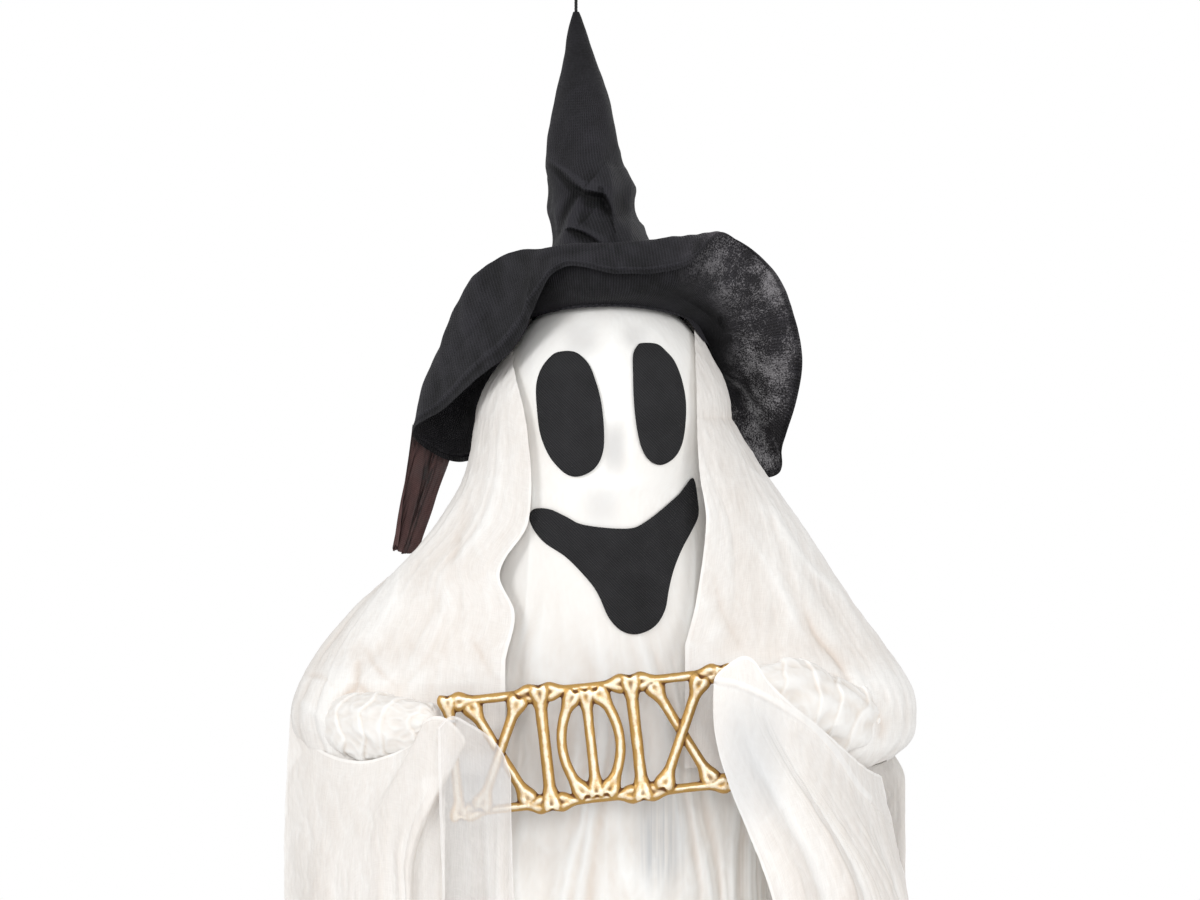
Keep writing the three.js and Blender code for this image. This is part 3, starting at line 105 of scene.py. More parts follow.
class Finish:
    """A material on one Principled shader, with its constants on the shader's own sockets."""

    def __init__(self, name, **constants):
        self.material = bpy.data.materials.new(name)
        self.material.use_nodes = True
        self.tree = self.material.node_tree
        self.shader = self.tree.nodes["Principled BSDF"]
        for socket, value in constants.items():
            self.shader.inputs[socket.replace("_", " ")].default_value = value

    def node(self, kind, settings, inputs, output=0):
        made = self.tree.nodes.new(kind)
        for name, value in settings.items():
            setattr(made, name, value)
        for key, value in inputs.items():
            if isinstance(value, Field):
                self.tree.links.new(value.socket, made.inputs[key])
            else:
                made.inputs[key].default_value = value
        return Field(self, made.outputs[output])

    def place(self, scale=(1, 1, 1), turn=0.0, uv=False):
        """Metres on the cloth, or in the object's own frame, scaled and turned."""
        if uv:
            where = self.node("ShaderNodeUVMap", {"uv_map": "cloth"}, {})
        else:
            where = self.node("ShaderNodeTexCoord", {}, {}, 3)
        inputs = {"Vector": where, "Rotation": (0, 0, turn), "Scale": scale}
        return self.node("ShaderNodeMapping", {}, inputs)

    def noise(self, where, scale=1.0, detail=2.0, rough=0.5):
        inputs = {"Vector": where, "Scale": scale, "Detail": detail, "Roughness": rough}
        return self.node("ShaderNodeTexNoise", {}, inputs)

    def attribute(self, name):
        return self.node("ShaderNodeAttribute", {"attribute_name": name}, {}, 2)

    def blend(self, share, first, second):
        """A colour between two, by a share from 0 to 1."""
        return self.node("ShaderNodeMix", {"data_type": "RGBA"}, {0: share, 6: first, 7: second}, 2)

    def waves(self, where, axis):
        """A sine along one axis of a place, from -1 to 1."""
        split = self.node("ShaderNodeSeparateXYZ", {}, {"Vector": where}, axis)
        return (split * math.tau).maths("SINE")

    def feeds(self, **fields):
        for socket, field in fields.items():
            self.tree.links.new(field.socket, self.shader.inputs[socket.replace("_", " ")])
        return self.material

    def bump(self, height, strength, depth):
        inputs = {"Strength": strength, "Distance": depth, "Height": height}
        return self.node("ShaderNodeBump", {}, inputs)


def paint(*colour):
    """A red, green and blue from 0 to 255 as the shader's linear colour."""
    return (*(((c / 255 + 0.055) / 1.055) ** 2.4 if c > 10 else c / 3294.6 for c in colour), 1)


camera_data = bpy.data.cameras.new("camera")
camera_data.lens = 120
camera_data.sensor_width = 36
camera = bpy.data.objects.new("camera", camera_data)
camera.location = [c * MM for c in CAMERA_AT]
camera.rotation_euler = (math.pi / 2, 0, 0)
bpy.context.collection.objects.link(camera)
bpy.context.scene.camera = camera
bpy.context.scene.view_settings.view_transform = "Standard"


def soft_light(name, place, target, size, watts):
    data = bpy.data.lights.new(name, "AREA")
    data.size, data.energy = size, watts
    light = bpy.data.objects.new(name, data)
    light.location = place
    way = Vector(target) - Vector(place)
    light.rotation_euler = way.to_track_quat("-Z", "Y").to_euler()
    bpy.context.collection.objects.link(light)


soft_light("front", (0.2, -3.2, 0.1), (0, 0, -0.5), 1.4, 34)
soft_light("key", (-1.7, -1.6, 0.6), (0, 0, -0.5), 0.9, 20)
soft_light("fill", (1.8, -1.3, -0.2), (0, 0, -0.5), 1.0, 8)
soft_light("rim", (0.9, 1.6, 0.9), (0, 0, -0.4), 1.0, 8)

# A ray from the camera, or one that is mirrored or refracted, meets a white background, and any
# other ray meets the soft light of a room.
world = bpy.data.worlds.new("studio")
bpy.context.scene.world = world
world.use_nodes = True
world_tree = world.node_tree
rays = world_tree.nodes.new("ShaderNodeLightPath")
seen_rays = []
for ray in ("Is Camera Ray", "Is Glossy Ray", "Is Transmission Ray"):
    both = world_tree.nodes.new("ShaderNodeMath")
    both.operation = "MAXIMUM"
    world_tree.links.new(rays.outputs[ray], both.inputs[0])
    both.inputs[1].default_value = AMBIENT
    if seen_rays:
        world_tree.links.new(seen_rays[-1], both.inputs[1])
    seen_rays.append(both.outputs[0])
world_tree.links.new(seen_rays[-1], world_tree.nodes["Background"].inputs["Strength"])
world_tree.nodes["Background"].inputs["Color"].default_value = (1, 1, 1, 1)

bpy.ops.object.select_all(action="DESELECT")
bpy.ops.mesh.primitive_circle_add(vertices=64, radius=1.6, fill_type="NGON", location=(0, 0, FLOOR_Z))
floor = bpy.context.object
floor.name = "floor"
floor_finish = Finish("floor_paint", Roughness=0.9, Specular_IOR_Level=0.1)
floor_tone = floor_finish.noise(floor_finish.place(), 3.0)
floor.data.materials.append(floor_finish.feeds(Base_Color=floor_finish.blend(
    floor_tone, (0.8, 0.8, 0.8, 1), (0.84, 0.84, 0.84, 1))))
floor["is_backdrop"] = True

# The hanging cord: a thin black three-strand cord that runs up from the hat's tip to a knot, with
# a tied loop above it for the hook. Nylon, laid and lightly waxed, knotted by hand.
CORD_RADIUS = 1.25
CORD_FOOT, CORD_TOP = -80.0, -43.5
KNOT_Z, KNOT_RADIUS, KNOT_LENGTH, KNOT_TURNS = -40.0, 1.9, 4.4, 2.6
STRAND_PITCH = 7.0
CORD_SIDES, KNOT_SIDES = 14, 12
# The figure's middle lies beside its hanging cord, since the hat leans.
MIDLINE = np.array([20.0, 0, 0])
CORD_X = -MIDLINE[0]


def smooth_line(points, count, closed=False):
    """Evenly stepped places on a smooth curve through some points, or through rows of them."""
    points = np.asarray(points, float)
    last = len(points)
    if closed:
        ends = points[np.arange(-1, last + 2) % last]
        spans = last
        steps = np.arange(count) * spans / count
    else:
        ends = np.concatenate([[2 * points[0] - points[1]], points, [2 * points[-1] - points[-2]]])
        spans = last - 1
        steps = np.linspace(0, spans, count)
    i = np.minimum(steps.astype(int), spans - 1)
    t = (steps - i).reshape(-1, *[1] * (points.ndim - 1))
    a, b, c, d = ends[i], ends[i + 1], ends[i + 2], ends[i + 3]
    square, cube = 2 * a - 5 * b + 4 * c - d, 3 * b - a - 3 * c + d
    return 0.5 * (2 * b + (c - a) * t + square * t ** 2 + cube * t ** 3)


def unit(vectors):
    return vectors / np.maximum(np.linalg.norm(vectors, axis=-1, keepdims=True), 1e-9)


def normals_of(points, wrap=False):
    """Unit normals over rows of points."""
    if wrap:
        across = np.roll(points, -1, axis=1) - np.roll(points, 1, axis=1)
    else:
        across = np.gradient(points, axis=1)
    return unit(np.cross(across, np.gradient(points, axis=0)))


def tube(path, radius, sides):
    """Rows of points round a path; radius is a function of the turn and the distance along it."""
    along = unit(np.gradient(path, axis=0))
    distance = np.concatenate([[0], np.cumsum(np.linalg.norm(np.diff(path, axis=0), axis=1))])
    across = np.cross(along, (0.0, 1.0, 0.0))
    weak = np.linalg.norm(across, axis=1) < 0.2
    across[weak] = np.cross(along[weak], (1.0, 0.0, 0.0))
    across = unit(across)
    up = np.cross(along, across)
    turn = np.arange(sides) * math.tau / sides
    reach = radius(turn[None, :], distance[:, None])[..., None]
    ring = np.cos(turn)[None, :, None] * across[:, None] + np.sin(turn)[None, :, None] * up[:, None]
    return path[:, None] + reach * ring


def mesh_of(name, points, wrap=False, caps=False, radial=False, **fields):
    """A skin over rows of points in millimetres, with metres of cloth as its UV map.

    Threads keep their distance in each row, or spread with the rows where they are radial."""
    rows, columns = points.shape[:2]
    full = np.concatenate([points, points[:, :1]], axis=1) if wrap else points
    across = np.zeros(full.shape[:2])
    across[:, 1:] = np.cumsum(np.linalg.norm(np.diff(full, axis=1), axis=2), axis=1)
    if radial:
        across[:] = across.mean(axis=0)
    down = np.zeros(full.shape[:2])
    down[1:] = np.cumsum(np.linalg.norm(np.diff(full, axis=0), axis=2), axis=0)
    i, j = np.meshgrid(np.arange(full.shape[1] - 1), np.arange(rows - 1))
    corners = [(j, i), (j + 1, i), (j + 1, i + 1), (j, i + 1)]
    index = np.stack([row * columns + column % columns for row, column in corners], axis=-1)
    faces = index.reshape(-1, 4).tolist()
    spots = ((points.reshape(-1, 3) + MIDLINE) * MM).tolist()
    if caps:
        for row, way in ((0, 1), (rows - 1, -1)):
            hub = len(spots)
            spots.append(((points[row].mean(axis=0) + MIDLINE) * MM).tolist())
            for k in range(columns):
                pair = (row * columns + k, row * columns + (k + 1) % columns)
                faces.append([hub, *pair[::way]])
    mesh = bpy.data.meshes.new(name)
    mesh.from_pydata(spots, [], faces)
    mesh.polygons.foreach_set("use_smooth", [True] * len(mesh.polygons))
    layer = mesh.uv_layers.new(name="cloth")
    uv = np.zeros((len(mesh.loops), 2))
    woven = np.stack([np.stack([across[c], down[c]], axis=-1) for c in corners], axis=-2)
    uv[:woven.size // 2] = woven.reshape(-1, 2) * MM
    layer.data.foreach_set("uv", uv.ravel())
    for key, values in fields.items():
        attribute = mesh.attributes.new(key, "FLOAT", "POINT")
        flat = np.zeros(len(spots))
        flat[:rows * columns] = np.broadcast_to(values, (rows, columns)).ravel()
        attribute.data.foreach_set("value", flat)
    piece = bpy.data.objects.new(name, mesh)
    bpy.context.collection.objects.link(piece)
    return piece


def raised(points, wrap=False, steps=(2, 6), gain=0.9):
    """How far each place stands above its neighbours on the cloth, in valleys below zero."""
    out = normals_of(points, wrap)
    total = np.zeros(points.shape[:2])
    for step in steps:
        near = np.zeros(points.shape)
        for axis in (0, 1):
            mode = "wrap" if wrap and axis else "edge"
            pad = [(step, step) if k == axis else (0, 0) for k in range(3)]
            wide = np.pad(points, pad, mode=mode)
            count = points.shape[axis]
            near += np.take(wide, np.arange(count), axis)
            near += np.take(wide, np.arange(count) + 2 * step, axis)
        total += ((points - near / 4) * out).sum(axis=-1) / step ** 0.5
    inside = np.sign(((points - points.mean(axis=(0, 1))) * out).sum(axis=-1).mean())
    return np.clip(total * inside * gain, -1, 1)


def joined(name, *parts):
    """Several pieces made one mesh."""
    bpy.ops.object.select_all(action="DESELECT")
    for part in parts:
        part.select_set(True)
    bpy.context.view_layer.objects.active = parts[0]
    bpy.ops.object.join()
    parts[0].name = name
    return parts[0]


def in_place_of(node, piece, material, body="figure"):
    """A mesh takes a node's place, in its own material, and rides on a body if one is named."""
    piece.data.materials.append(material)
    if body:
        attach(piece, body)
    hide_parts(node)


def laid_strands(turn, distance):
    """The radius of a three-strand cord: each strand shows as a rounded rib that winds round."""
    lay = np.abs(np.cos(1.5 * (turn - math.tau * distance / STRAND_PITCH)))
    return CORD_RADIUS * (0.84 + 0.16 * lay)


cord_finish = Finish("cord_black", Roughness=0.7, Specular_IOR_Level=0.25)
cord_tone = cord_finish.noise(cord_finish.place((900, 900, 250)))
cord_black = cord_finish.feeds(
    Base_Color=cord_finish.blend(cord_tone, paint(14, 14, 15), paint(34, 33, 34)),
    Normal=cord_finish.bump(cord_tone, 0.4, 0.0003))

cord_path = np.linspace((CORD_X, 0, CORD_FOOT), (CORD_X, 0, CORD_TOP), 74)
cord_skin = tube(cord_path, laid_strands, CORD_SIDES)
hanging_cord = mesh_of("hanging_cord_strands", cord_skin, wrap=True, caps=True)
flank = np.array([(1.3, -38.5), (7.2, -22), (9, -10), (5.4, -1)])
loop_line = [(CORD_X - x, 0, z) for x, z in flank] + [(CORD_X, 0, 0)]
loop_line += [(CORD_X + x, 0, z) for x, z in flank[::-1]]
loop_path = smooth_line(loop_line, 150)
knot_turns = np.linspace(0, KNOT_TURNS * math.tau, 90)
knot_path = np.stack([
    CORD_X + KNOT_RADIUS * np.cos(knot_turns),
    KNOT_RADIUS * np.sin(knot_turns),
    KNOT_Z - KNOT_LENGTH / 2 + KNOT_LENGTH * knot_turns / knot_turns[-1],
], axis=1)
hanging_loop = joined(
    "hanging_loop_strands",
    mesh_of("loop", tube(loop_path, laid_strands, CORD_SIDES), wrap=True, caps=True),
    mesh_of("knot", tube(knot_path, laid_strands, KNOT_SIDES), wrap=True, caps=True))
in_place_of("hanging_cord", hanging_cord, cord_black)
in_place_of("hanging_loop", hanging_loop, cord_black)
nodes["hat_cord"].material_slots[0].material = cord_black

# The hat's cone: ribbed black spun-bond cloth, sewn up its back and left soft, so that it has
# sunk into a heavy fold halfway and stands on crushed facets. The tip is gathered on the cord.
TIP_Z = -80.0
HAT_RISE = 207.0
HEAD_MID_Z = -385.0
HALF_WIDTH, HALF_DEPTH = 82.0, 94.0
HEAD_UPPER = 98.0
SEAM_DROP, SEAM_TILT, SEAM_EASE = 31.0, 0.25, 3.0
TUCK_OUT, TUCK_DROP = 7, 14
CLOTH, CLOTH_GAP, CAPE_EASE = 1.6, 0.6, 1.6
HEAD_SHIFT = 4.0
# Each ring of the cone: its share of the way down, its middle, half its width and half its depth.
CONE_RINGS = [
    (0, -20, 2.2, 2.2), (0.03, -19.6, 4.6, 4.2), (0.09, -19, 8, 7), (0.16, -17.5, 11.5, 10),
    (0.295, -15.5, 19.5, 17), (0.377, -14.5, 23, 22), (0.469, -14, 26.5, 25), (0.546, -13.2, 29.6, 28),
    (0.58, -11.6, 31.2, 30), (0.645, -8.8, 32.8, 33), (0.725, -9.3, 33.2, 37), (0.79, -5, 35.5, 41),
    (0.86, -1, 39.2, 48), (0.966, 3, 49, 56),
]
# Each crease: its line in the photograph's pixels, its height in millimetres and its width in pixels.
CONE_STEPS = [
    ([(545, 160), (562, 172), (580, 189), (592, 194), (603, 196), (609, 206), (612, 218)], 7.0, 20),
    ([(548, 252), (556, 240), (563, 231), (567, 216), (575, 200), (583, 190)], -7.0, 16),
    ([(560, 231), (572, 230), (590, 236), (606, 248)], 5.0, 9),
]
CONE_RIDGES = [
    ([(600, 186), (603, 196), (610, 216)], -4.0, 4), ([(632, 180), (631, 212), (633, 246)], 4.0, 4),
    ([(558, 120), (570, 95), (590, 84)], 1.2, 6), ([(562, 150), (568, 128), (566, 112)], 1.4, 5),
    ([(596, 120), (600, 150), (612, 176)], 0.9, 9),
]


def ramp(start, end, x):
    t = np.clip((x - start) / (end - start), 0, 1)
    return t * t * (3 - 2 * t)


class Noise:
    """Smooth noise over places, from about -1 to 1, the same on each run."""

    def __init__(self, seed):
        source = np.random.default_rng(seed)
        self.order = source.permutation(256)
        self.slopes = unit(source.normal(size=(256, 3)))

    def __call__(self, x, y=0.0, z=0.0):
        places = np.stack(np.broadcast_arrays(x, y, z), axis=-1).astype(float)
        cell = np.floor(places).astype(int)
        part = places - cell
        ease = part ** 3 * (part * (part * 6 - 15) + 10)
        total = np.zeros(part.shape[:-1])
        for corner in itertools.product((0, 1), repeat=3):
            corner = np.array(corner)
            c = (cell + corner) & 255
            mixed = self.order[(self.order[(self.order[c[..., 0]] + c[..., 1]) & 255] + c[..., 2]) & 255]
            weight = np.prod(np.where(corner == 1, ease, 1 - ease), axis=-1)
            total += weight * ((part - corner) * self.slopes[mixed]).sum(axis=-1)
        return 1.7 * total


def seen(points):
    """The photograph's pixels at which the camera sees places in the figure's frame."""
    near = PIXEL * (1 + points[..., 1] / -CAMERA_AT[1])
    return (FRAME_MIDDLE[0] + (points[..., 0] + MIDLINE[0] - CAMERA_AT[0]) / near,
            FRAME_MIDDLE[1] - (points[..., 2] - CAMERA_AT[2]) / near)


def beside(pixels, line):
    """Distance from a line, positive on its left as it runs in the picture, and the share along it."""
    px, py = pixels
    line = smooth_line(line, 8 * len(line)) if len(line) > 2 else np.array(line, float)
    best, share = np.full(px.shape, 1e6), np.zeros(px.shape)
    for k in range(len(line) - 1):
        x0, y0 = line[k]
        dx, dy = line[k + 1] - line[k]
        t = np.clip(((px - x0) * dx + (py - y0) * dy) / max(dx * dx + dy * dy, 1e-9), 0, 1)
        ox, oy = px - x0 - t * dx, py - y0 - t * dy
        away = np.hypot(ox, oy)
        nearer = away < np.abs(best)
        best = np.where(nearer, np.where(dx * oy - dy * ox > 0, -away, away), best)
        share = np.where(nearer, (k + t) / (len(line) - 1), share)
    return best, share


def faded(share):
    """A fold's strength along its line: full in the middle and weak at both ends."""
    return np.sqrt(np.clip(np.sin(math.pi * np.clip(share, 0.02, 0.98)), 0, 1))


def step_fold(pixels, line, lift, fade):
    """Cloth that stands proud on the left of a line and is sunk on its right."""
    away, share = beside(pixels, line)
    return lift * faded(share) * np.tanh(away / 1.6) * np.exp(-np.abs(away) / fade)


def ridge_fold(pixels, line, lift, width):
    """A ridge along a line, or a valley where lift is negative."""
    away, share = beside(pixels, line)
    return lift * faded(share) * np.exp(-(np.sqrt(away ** 2 + 1) - 1) / width)


def grown_dome(grow):
    """Half the width, half the depth and the height of the head's dome under some cloth."""
    return HALF_WIDTH + grow, HALF_DEPTH + grow, HEAD_UPPER + grow


def layer(count):
    """How far a layer of cloth lies off the head, by its count from the skin."""
    return count * (CLOTH + CLOTH_GAP) - CLOTH / 2


def seam_height(y):
    """The height of the hat's tilted opening."""
    return HEAD_MID_Z + HEAD_UPPER - SEAM_DROP - SEAM_TILT * y


def seam_point(turn):
    """The hat's opening: where a tilted plane meets the clothed dome of the head."""
    a, b, h = grown_dome(layer(2) + CAPE_EASE + SEAM_EASE)
    c, s = np.cos(turn), np.sin(turn)
    lift = HEAD_UPPER - SEAM_DROP
    qa = (c / a) ** 2 + (s / b) ** 2 + (SEAM_TILT * s / h) ** 2
    qb = -2 * lift * SEAM_TILT * s / h ** 2
    qc = (lift / h) ** 2 - 1
    reach = (-qb + np.sqrt(qb * qb - 4 * qa * qc)) / (2 * qa)
    return np.stack([HEAD_SHIFT + reach * c, reach * s, seam_height(reach * s)], axis=-1)


CONE_COLUMNS, CONE_ROWS = 276, 280
cone_turn = np.arange(CONE_COLUMNS) * math.tau / CONE_COLUMNS
cone_rings = smooth_line(CONE_RINGS, CONE_ROWS)
share, middle, half, deep = (column[:, None] for column in cone_rings.T)
fold_depth = 2.0 * ramp(0.24, 0.58, share) * (1 - 0.5 * ramp(0.82, 1, share))
cone_fold = fold_depth * (np.cos(3 * cone_turn + 7.2 * share) + 0.5 * np.cos(5 * cone_turn - 10 * share))
cone = np.stack([
    middle + (half + cone_fold) * np.cos(cone_turn),
    5 * ramp(0.3, 0.97, share) + (deep + cone_fold) * np.sin(cone_turn),
    TIP_Z - share * HAT_RISE + 0 * cone_turn,
], axis=-1)
brow = seam_point(cone_turn)
skirt = np.linspace(0, 1, 26)[1:, None, None]
facing_back = 0.08 + 0.92 * ramp(-0.5, -0.25, np.sin(cone_turn))[:, None]
tucked = facing_back * np.stack(
    [TUCK_OUT * np.cos(cone_turn), TUCK_OUT * np.sin(cone_turn), 0 * cone_turn - TUCK_DROP], axis=1)
tuck = np.linspace(0, 1, 10)[1:, None, None]
cone = np.concatenate([cone, cone[-1] * (1 - skirt) + brow * skirt, brow + tucked * tuck])
free = np.concatenate([np.ones(CONE_ROWS), 1 - skirt[:, 0, 0] ** 2, 0 * tuck[:, 0, 0]])[:, None]
facing = np.clip(np.abs(np.sin(cone_turn)) * (np.sin(cone_turn) < 0), 0, 1)[None, :, None] ** 0.5
pixels = seen(cone)
crush = sum([step_fold(pixels, *crease) for crease in CONE_STEPS]
            + [ridge_fold(pixels, *crease) for crease in CONE_RIDGES])
cone[..., 1:2] -= facing * (crush * free)[..., None]
rough = Noise(3)
cone_out = normals_of(cone, wrap=True)
low = ramp(-150, -215, cone[..., 2])
rumple = low * (2.4 * rough(cone[..., 0] / 30, cone[..., 1] / 30, cone[..., 2] / 34)
                - 2.4 * np.abs(rough(cone[..., 0] / 22, cone[..., 1] / 22 + 7, cone[..., 2] / 26)))
rumple *= np.where(np.sin(cone_turn) < 0, 0.35, 1.0)[None, :]
rumple += 0.35 * rough(cone[..., 0] / 9, cone[..., 1] / 9, cone[..., 2] / 12)
cone = cone + cone_out * (free * rumple * np.sign((cone_out[..., 1] * cone[..., 1]).mean()))[..., None]


# Spun-bond cloth has a dotted emboss, sewn hems, and see-through specks where it is thin, painted lighter
# as light coming through.
hat = Finish("hat_black", Roughness=0.72, Specular_IOR_Level=0.25)
emboss_place = hat.place((470, 470, 1), uv=True)
ribs, dots = hat.waves(emboss_place, 0), hat.waves(emboss_place, 1)
emboss = ribs * 0.6 + dots * ribs * 0.4
stitches = hat.attribute("sewn") * (0.5 + hat.waves(hat.place((290, 290, 1), uv=True), 0) * 0.5)
dust_and_light_specks = hat.noise(hat.place(), 34.0, 5.0, 0.66)
fleck = hat.noise(hat.place(), 640.0, 2.0, 0.75)
grain = hat.noise(hat.place(), 900.0, 1.0, 0.5)
thin, fold = hat.attribute("thin"), hat.attribute("fold")
# The fold attribute paints crease valleys darker and ridges lighter: painted shade and painted light.
tone = (dust_and_light_specks - 0.5) * 1.1 + (fleck - 0.5) * 0.8 + emboss * 0.4 + fold * 0.8 + stitches * 0.35 + 0.4
# Where the wing is thin its specks let the background through and are painted lighter, and the thin part is
# a little lighter overall: painted light coming through.
painted_light_specks = ((dust_and_light_specks * 1.5 + grain - 1.2) * 2.6).clipped() * thin
hat_base = hat.blend(tone.clipped(), paint(4, 4, 6), paint(44, 43, 48))
hat_black = hat.feeds(
    Base_Color=hat.blend((painted_light_specks * 0.6 + thin * 0.06).clipped(), hat_base, paint(118, 112, 118)),
    Alpha=(1 - painted_light_specks * 0.14).clipped(),
    Normal=hat.bump(emboss + fleck + stitches, 0.8, 0.0007))
# The cone's fold attribute sets the painted shade in its creases.
hat_cone = mesh_of("hat_cone_cloth", cone, wrap=True, radial=True, fold=raised(cone, True, (3, 12)))
in_place_of("hat_cone", hat_cone, hat_black)

# The brim: a wide ring of the same cloth, hemmed and sewn to the cone. It is folded back on
# itself over the brow, and its right wing hangs so thin that the light comes through it.
# Each rib of the brim: its turn in degrees, then its middle, fold and hem as they lie from the seam,
# each as a distance outwards, a lean to the side and a rise.
BRIM_RIBS = [
    (-90, (15, 2, 10), (17, 4, 45), (27, 8, 22)),
    (-60, (16, 5, 14), (18, 9, 50), (33, 7, 29)),
    (-40, (21, 5, 23), (24, 19, 55), (30, 19, 58)),
    (-20, (25, 9, 12), (45, 13, 32), (55, 20, 40)),
    (0, (25, 2, 0), (49, -4, 10), (68, 0, 15)),
    (20, (27, -9, -14), (46, -27, -21), (68, -35, -22)),
    (40, (29, -22, -26), (40, -41, -52), (49, -54, -69)),
    (60, (28, -31, -24), (32, -54, -66), (30, -71, -93)),
    (90, (12, -6, -14), (30, -10, -44), (38, -14, -70)),
    (120, (26, -5, -16), (43, -3, -46), (54, 4, -72)),
    (145, (38, 1, -18), (49, 13, -52), (43, 29, -88)),
    (165, (30, -4, -8), (63, 22, -44), (67, 44, -74)),
    (180, (23, -4, 5), (55, 6, -11), (53, 34, -59)),
    (200, (17, -7, 15), (38, -19, 25), (35, 23, -37)),
    (220, (13, -2, 20), (15, -22, 44), (26, 14, -13)),
    (240, (16, 8, 14), (17, 2, 44), (27, 8, 28)),
]
BRIM_START = (-0.8, 0, 0.6)
BRIM_COLUMNS, BRIM_ROWS = 560, 120
BRIM_CREASES = [
    ([(640, 280), (690, 305), (722, 327)], -2.6, 5), ([(721, 313), (718, 326), (723, 333)], -2.0, 3),
    ([(722, 332), (751, 342), (797, 333)], -1.6, 3), ([(722, 326), (760, 335), (797, 326)], 1.2, 3),
    ([(533, 268), (531, 296), (529, 322)], -3.0, 4), ([(440, 372), (470, 335), (512, 285)], 1.6, 6),
    ([(456, 395), (490, 360), (530, 300)], -1.2, 5),
]


def rib_points(step):
    """Where each rib of the brim is, at its seam, middle, fold or hem."""
    found = []
    for degrees, *reaches in BRIM_RIBS:
        out, lean, rise = (BRIM_START, *reaches)[step]
        turn = math.radians(degrees)
        c, s = math.cos(turn), math.sin(turn)
        found.append(seam_point(turn) + np.array([out * c - lean * s, out * s + lean * c, rise]))
    return smooth_line(found, BRIM_COLUMNS, closed=True)


brim = smooth_line([rib_points(step) for step in range(4)], BRIM_ROWS)
brim_out = normals_of(brim, wrap=True)
pixels = seen(brim)
u = np.arange(BRIM_COLUMNS)[None, :] / BRIM_COLUMNS
v = np.linspace(0, 1, BRIM_ROWS)[:, None]
brim_rough = Noise(11)
sag = ramp(0.1, 0.45, v) * (
    2.6 * brim_rough(u * 22, v * 2.0) - 2.0 * np.abs(brim_rough(u * 13 + 5, v * 3.0))
    + 0.9 * brim_rough(u * 60, v * 7))
brim_crease = sum(ridge_fold(pixels, *crease) for crease in BRIM_CREASES) * ramp(0.02, 0.12, v)
sag = sag + brim_crease
sewn = np.exp(-((v - 0.95) / 0.006) ** 2)
hem = 1.1 * ramp(0.955, 0.965, v) - 0.6 * sewn
brim = brim + brim_out * (sag + hem)[..., None]

right_wing = ramp(670, 735, seen(brim)[0])
# The brim's fold attribute sets the painted shade in its creases, and the thin mask marks the right wing
# for painted light.
hat_brim = mesh_of(
    "hat_brim_cloth", brim, wrap=True, radial=True, fold=raised(brim, True, (2, 7)) + 0.3 * brim_crease,
    thin=right_wing * ramp(0.15, 0.5, v) * (1 - 0.7 * ramp(0.9, 0.95, v)), sewn=sewn)
in_place_of("hat_brim", hat_brim, hat_black)

# The gauze strip: a torn end of dark brown cheesecloth, sewn under the brim at the left and
# hanging beside the face. It is loosely woven, so its threads show.
TAIL_LENGTH = 92.0
TAIL_ENDS = (0.6875, 0.625)
TAIL_COLUMNS, TAIL_ROWS = 70, 110


def grid(columns, rows):
    """The shares across and down a sheet, as a row and a column."""
    return np.linspace(0, 1, columns)[None, :], np.linspace(0, 1, rows)[:, None]


def brim_at(share, reach):
    """A place on the brim's own grid, by the share round the head and from seam to hem."""
    i = (np.asarray(share) * BRIM_COLUMNS).astype(int) % BRIM_COLUMNS
    return brim[np.minimum((reach * (BRIM_ROWS - 1)).astype(int), BRIM_ROWS - 1), i]


u, v = grid(TAIL_COLUMNS, TAIL_ROWS)
tail_hem = brim_at(TAIL_ENDS[0] + (TAIL_ENDS[1] - TAIL_ENDS[0]) * u[0], np.full(TAIL_COLUMNS, 0.93))[None]
tail_curl = 5 * np.sin(math.tau * u) * v
tail_rough = Noise(21)
tail_fold = 3.2 * v ** 0.5 * tail_rough(u * 6, v * 1.4) + 1.2 * tail_rough(u * 15, v * 3)
tail = tail_hem + np.stack([
    (-12 - 14 * u) * v - np.abs(tail_curl) + tail_fold * 0.5,
    (14 - 26 * u) * v + tail_curl + tail_fold,
    (14 * u - TAIL_LENGTH) * v + 3 * tail_rough(u * 9, 4.0) * v,
], axis=-1) + np.array([-1.0, 4.5, 1.0])
tail_finish = Finish("gauze_brown", Roughness=0.75, Specular_IOR_Level=0.3)
tail_place = tail_finish.place((700, 700, 1), uv=True)
tail_weave = tail_finish.waves(tail_place, 0) * 0.5 + tail_finish.waves(tail_place, 1) * 0.5
tail_tone = tail_finish.noise(tail_finish.place(), 60.0, 3.0)
gauze_brown = tail_finish.feeds(
    Base_Color=tail_finish.blend((tail_tone * 0.9 + tail_weave * 0.3 + 0.02).clipped(),
                                 paint(46, 28, 27), paint(116, 86, 84)),
    Alpha=(tail_weave * 0.15 + tail_tone * 0.3 + 0.92).clipped(),
    Normal=tail_finish.bump(tail_weave, 0.6, 0.0005))
gauze_tail = mesh_of("gauze_tail_cloth", tail)
in_place_of("gauze_tail", gauze_tail, gauze_brown)

# The robe: a soft white under-cloth over the hollow head moulding, so that brow, nose and lip
# show through it, sewn to a back panel at the sides and falling in loose folds to a torn hem.
SHOULDER_Z, ELBOW_Z, CHIN_Z, HEM_Z = -469.0, -609.0, -492.0, -995.0
ROBE_HEM_HALF, ROBE_FOLD, HEM_TEAR = 126.0, 7.0, 9.0
FIT = 0.3
SHOULDER_PAD, ARM_RADIUS = 13.0, 19.0
ROBE_DOME = 0.24
ROBE_FRONT_GRID, ROBE_BACK_GRID = (330, 290), (220, 230)
CORD_HOLE = 3.2
